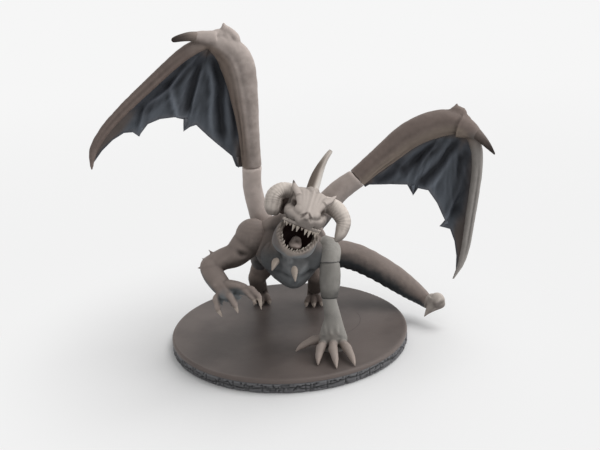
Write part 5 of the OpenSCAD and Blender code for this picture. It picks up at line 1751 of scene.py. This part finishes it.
# Stage in metres: half the floor's width, where shadows fade out, and the two square lamps
FLOOR_REACH = 4.0
SHADOW_REACH = (0.05, 0.13)
LAMP_SIZE = 0.5
LAMP_AIM = Vector((0, 0, 0.05))
KEY_PLACE = Vector((0.3, 0.2, 0.75))
SIDE_PLACE = Vector((0.75, -0.15, 0.35))


class BEAST_OT_stage(bpy.types.Operator):
    """Lay the floor and backdrop, hang the lights and set the camera"""

    bl_idname = "beast.stage"
    bl_label = "Stage"

    def execute(self, context):
        stage = settings().stage
        scene = context.scene

        mix = new_paint("floor_paint")
        mesh = bpy.data.meshes.new("floor")
        corners = [(x * FLOOR_REACH, y * FLOOR_REACH, 0) for x, y in ((-1, -1), (1, -1), (1, 1), (-1, 1))]
        mesh.from_pydata(corners, [], [(0, 1, 2, 3)])
        mesh.materials.append(mix.owner)
        # the floor takes the figure's shadow near it, and shows its plain pale colour further off
        near = mix.node("ShaderNodeBsdfPrincipled", None, {"Base Color": (*stage.floor, 1), "Roughness": 0.9,
                                                           "Specular IOR Level": 0.1})
        axes = mix.node("ShaderNodeSeparateXYZ", None,
                        {"Vector": mix.node("ShaderNodeTexCoord").outputs["Object"]})
        x, y = (Value(mix, axes.outputs[i]) for i in range(2))
        away = (x * x + y * y) ** 0.5
        pale = mix.blend(stage.floor[:], stage.backdrop[:], away.ramp(0.15, 0.9))
        far = mix.node("ShaderNodeEmission", None, {"Color": pale, "Strength": 1.0})
        shown = mix.node("ShaderNodeMixShader", None, {0: mix.plain_sight() * away.ramp(*SHADOW_REACH),
                                                       1: near.outputs[0], 2: far.outputs[0]})
        mix.node("ShaderNodeOutputMaterial", None, {"Surface": shown.outputs[0]})
        floor = bpy.data.objects.new("floor", mesh)
        scene.collection.objects.link(floor)
        for name, place, power in (("key", KEY_PLACE, stage.key_power),
                                   ("side", SIDE_PLACE, stage.side_power)):
            lamp = bpy.data.lights.new(name, "AREA")
            lamp.energy, lamp.size = power, LAMP_SIZE
            light = bpy.data.objects.new(name, lamp)
            light.location = place
            aim = LAMP_AIM - place
            light.rotation_euler = aim.to_track_quat("-Z", "Y").to_euler()
            scene.collection.objects.link(light)
        # the room's white light falls on the figure, and the backdrop's colour is what shows
        scene.world = bpy.data.worlds.new("room")
        mix = PaintMix(scene.world)
        room = mix.node("ShaderNodeBackground", None, {"Color": (1, 1, 1, 1), "Strength": stage.world_level})
        backdrop = mix.node("ShaderNodeBackground", None, {"Color": (*stage.backdrop, 1)})
        pick = mix.node("ShaderNodeMixShader", None, {0: mix.plain_sight(), 1: room.outputs[0],
                                                      2: backdrop.outputs[0]})
        mix.node("ShaderNodeOutputWorld", None, {"Surface": pick.outputs[0]})
        lens = bpy.data.cameras.new("camera")
        lens.lens, lens.sensor_width, lens.sensor_fit = CAMERA_LENS, CAMERA_SENSOR, "AUTO"
        lens.shift_x, lens.shift_y = CAMERA_SHIFT
        lens.clip_start, lens.clip_end = 0.01, 20
        camera = bpy.data.objects.new("camera", lens)
        side, top, ahead = camera_axes()
        turn = Matrix((side, top, -ahead)).transposed().to_4x4()
        camera.matrix_world = Matrix.Translation(CAMERA_AT) @ turn
        scene.collection.objects.link(camera)
        scene.camera = camera
        scene.view_settings.view_transform = "Standard"
        return {"FINISHED"}


PIECE_OPERATORS = (BEAST_OT_base, BEAST_OT_torso, BEAST_OT_left_arm, BEAST_OT_right_arm, BEAST_OT_legs,
                   BEAST_OT_tail, BEAST_OT_skull, BEAST_OT_jaw, BEAST_OT_horns, BEAST_OT_wings,
                   BEAST_OT_pins, BEAST_OT_stage)


class BEAST_PT_panel(bpy.types.Panel):
    """Settings and pieces of the miniature"""

    bl_idname = "BEAST_PT_panel"
    bl_label = "Winged beast miniature"
    bl_space_type = "VIEW_3D"
    bl_region_type = "UI"
    bl_category = "Miniature"

    def draw(self, context):
        for group in (context.scene.beast.paint, context.scene.beast.sculpt, context.scene.beast.stage):
            box = self.layout.box()
            for name in group.__annotations__:
                box.prop(group, name)
        for operator in PIECE_OPERATORS:
            self.layout.operator(operator.bl_idname)


CLASSES = (BeastPaintSettings, BeastSculptSettings, BeastStageSettings, BeastSettings, *PIECE_OPERATORS,
           BEAST_PT_panel)


def register():
    for item in CLASSES:
        bpy.utils.register_class(item)
    bpy.types.Scene.beast = bpy.props.PointerProperty(type=BeastSettings)


def unregister():
    del bpy.types.Scene.beast
    for item in reversed(CLASSES):
        bpy.utils.unregister_class(item)


def write_points():
    """Works out where each tip shows in the image, as the vertex of its piece that lies furthest that way,
    and where the nostrils' rays meet the skull, but keeps none of it.

    The nostrils are taken only where the ray meets the skull, so they always sit on their image points: the
    creases themselves are given in the head's frame.
    """
    shown = {}
    for item in bpy.context.scene.objects:
        if item.type == "MESH" and not item.hide_render and item.name != "floor":
            shown[item.name] = np.array([in_image(v.co) for v in item.data.vertices])
    tips = {"crest_tip": ("beast_crest", (0, -1)), "right_thumb_tip": ("beast_right_wing_thumb", (-1, 0)),
            "left_thumb_tip": ("beast_left_wing_thumb", (1, 1)),
            "right_wing_tip": ("beast_right_wing", (-0.3, 1)),
            "left_wing_tip": ("beast_left_wing", (-0.3, 1)),
            "tail_blade_point": ("beast_tail_blade", (-1, 1)),
            "right_throat_spike": ("beast_throat_spikes", (-1, 0.3)),
            "left_throat_spike": ("beast_throat_spikes", (0, 1))}
    for name, (piece, way) in tips.items():
        seen = shown[piece]
        if name == "right_wing_tip":
            seen = seen[seen[:, 0] < 130]
        if name == "left_wing_tip":
            seen = seen[seen[:, 1] > 240]
        best = seen[(seen @ np.array(way)).argmax()]
    skull = bpy.data.objects["beast_skull"]
    for name in ("left_nostril", "right_nostril"):
        place, _ = place_on(skull, name)


def main():
    """Makes every piece, then works out where the result's tips and nostrils show in the image."""
    register()
    for operator in PIECE_OPERATORS:
        group, name = operator.bl_idname.split(".")
        getattr(getattr(bpy.ops, group), name)()
    bpy.context.view_layer.update()
    write_points()


if __name__ == "__main__":
    main()
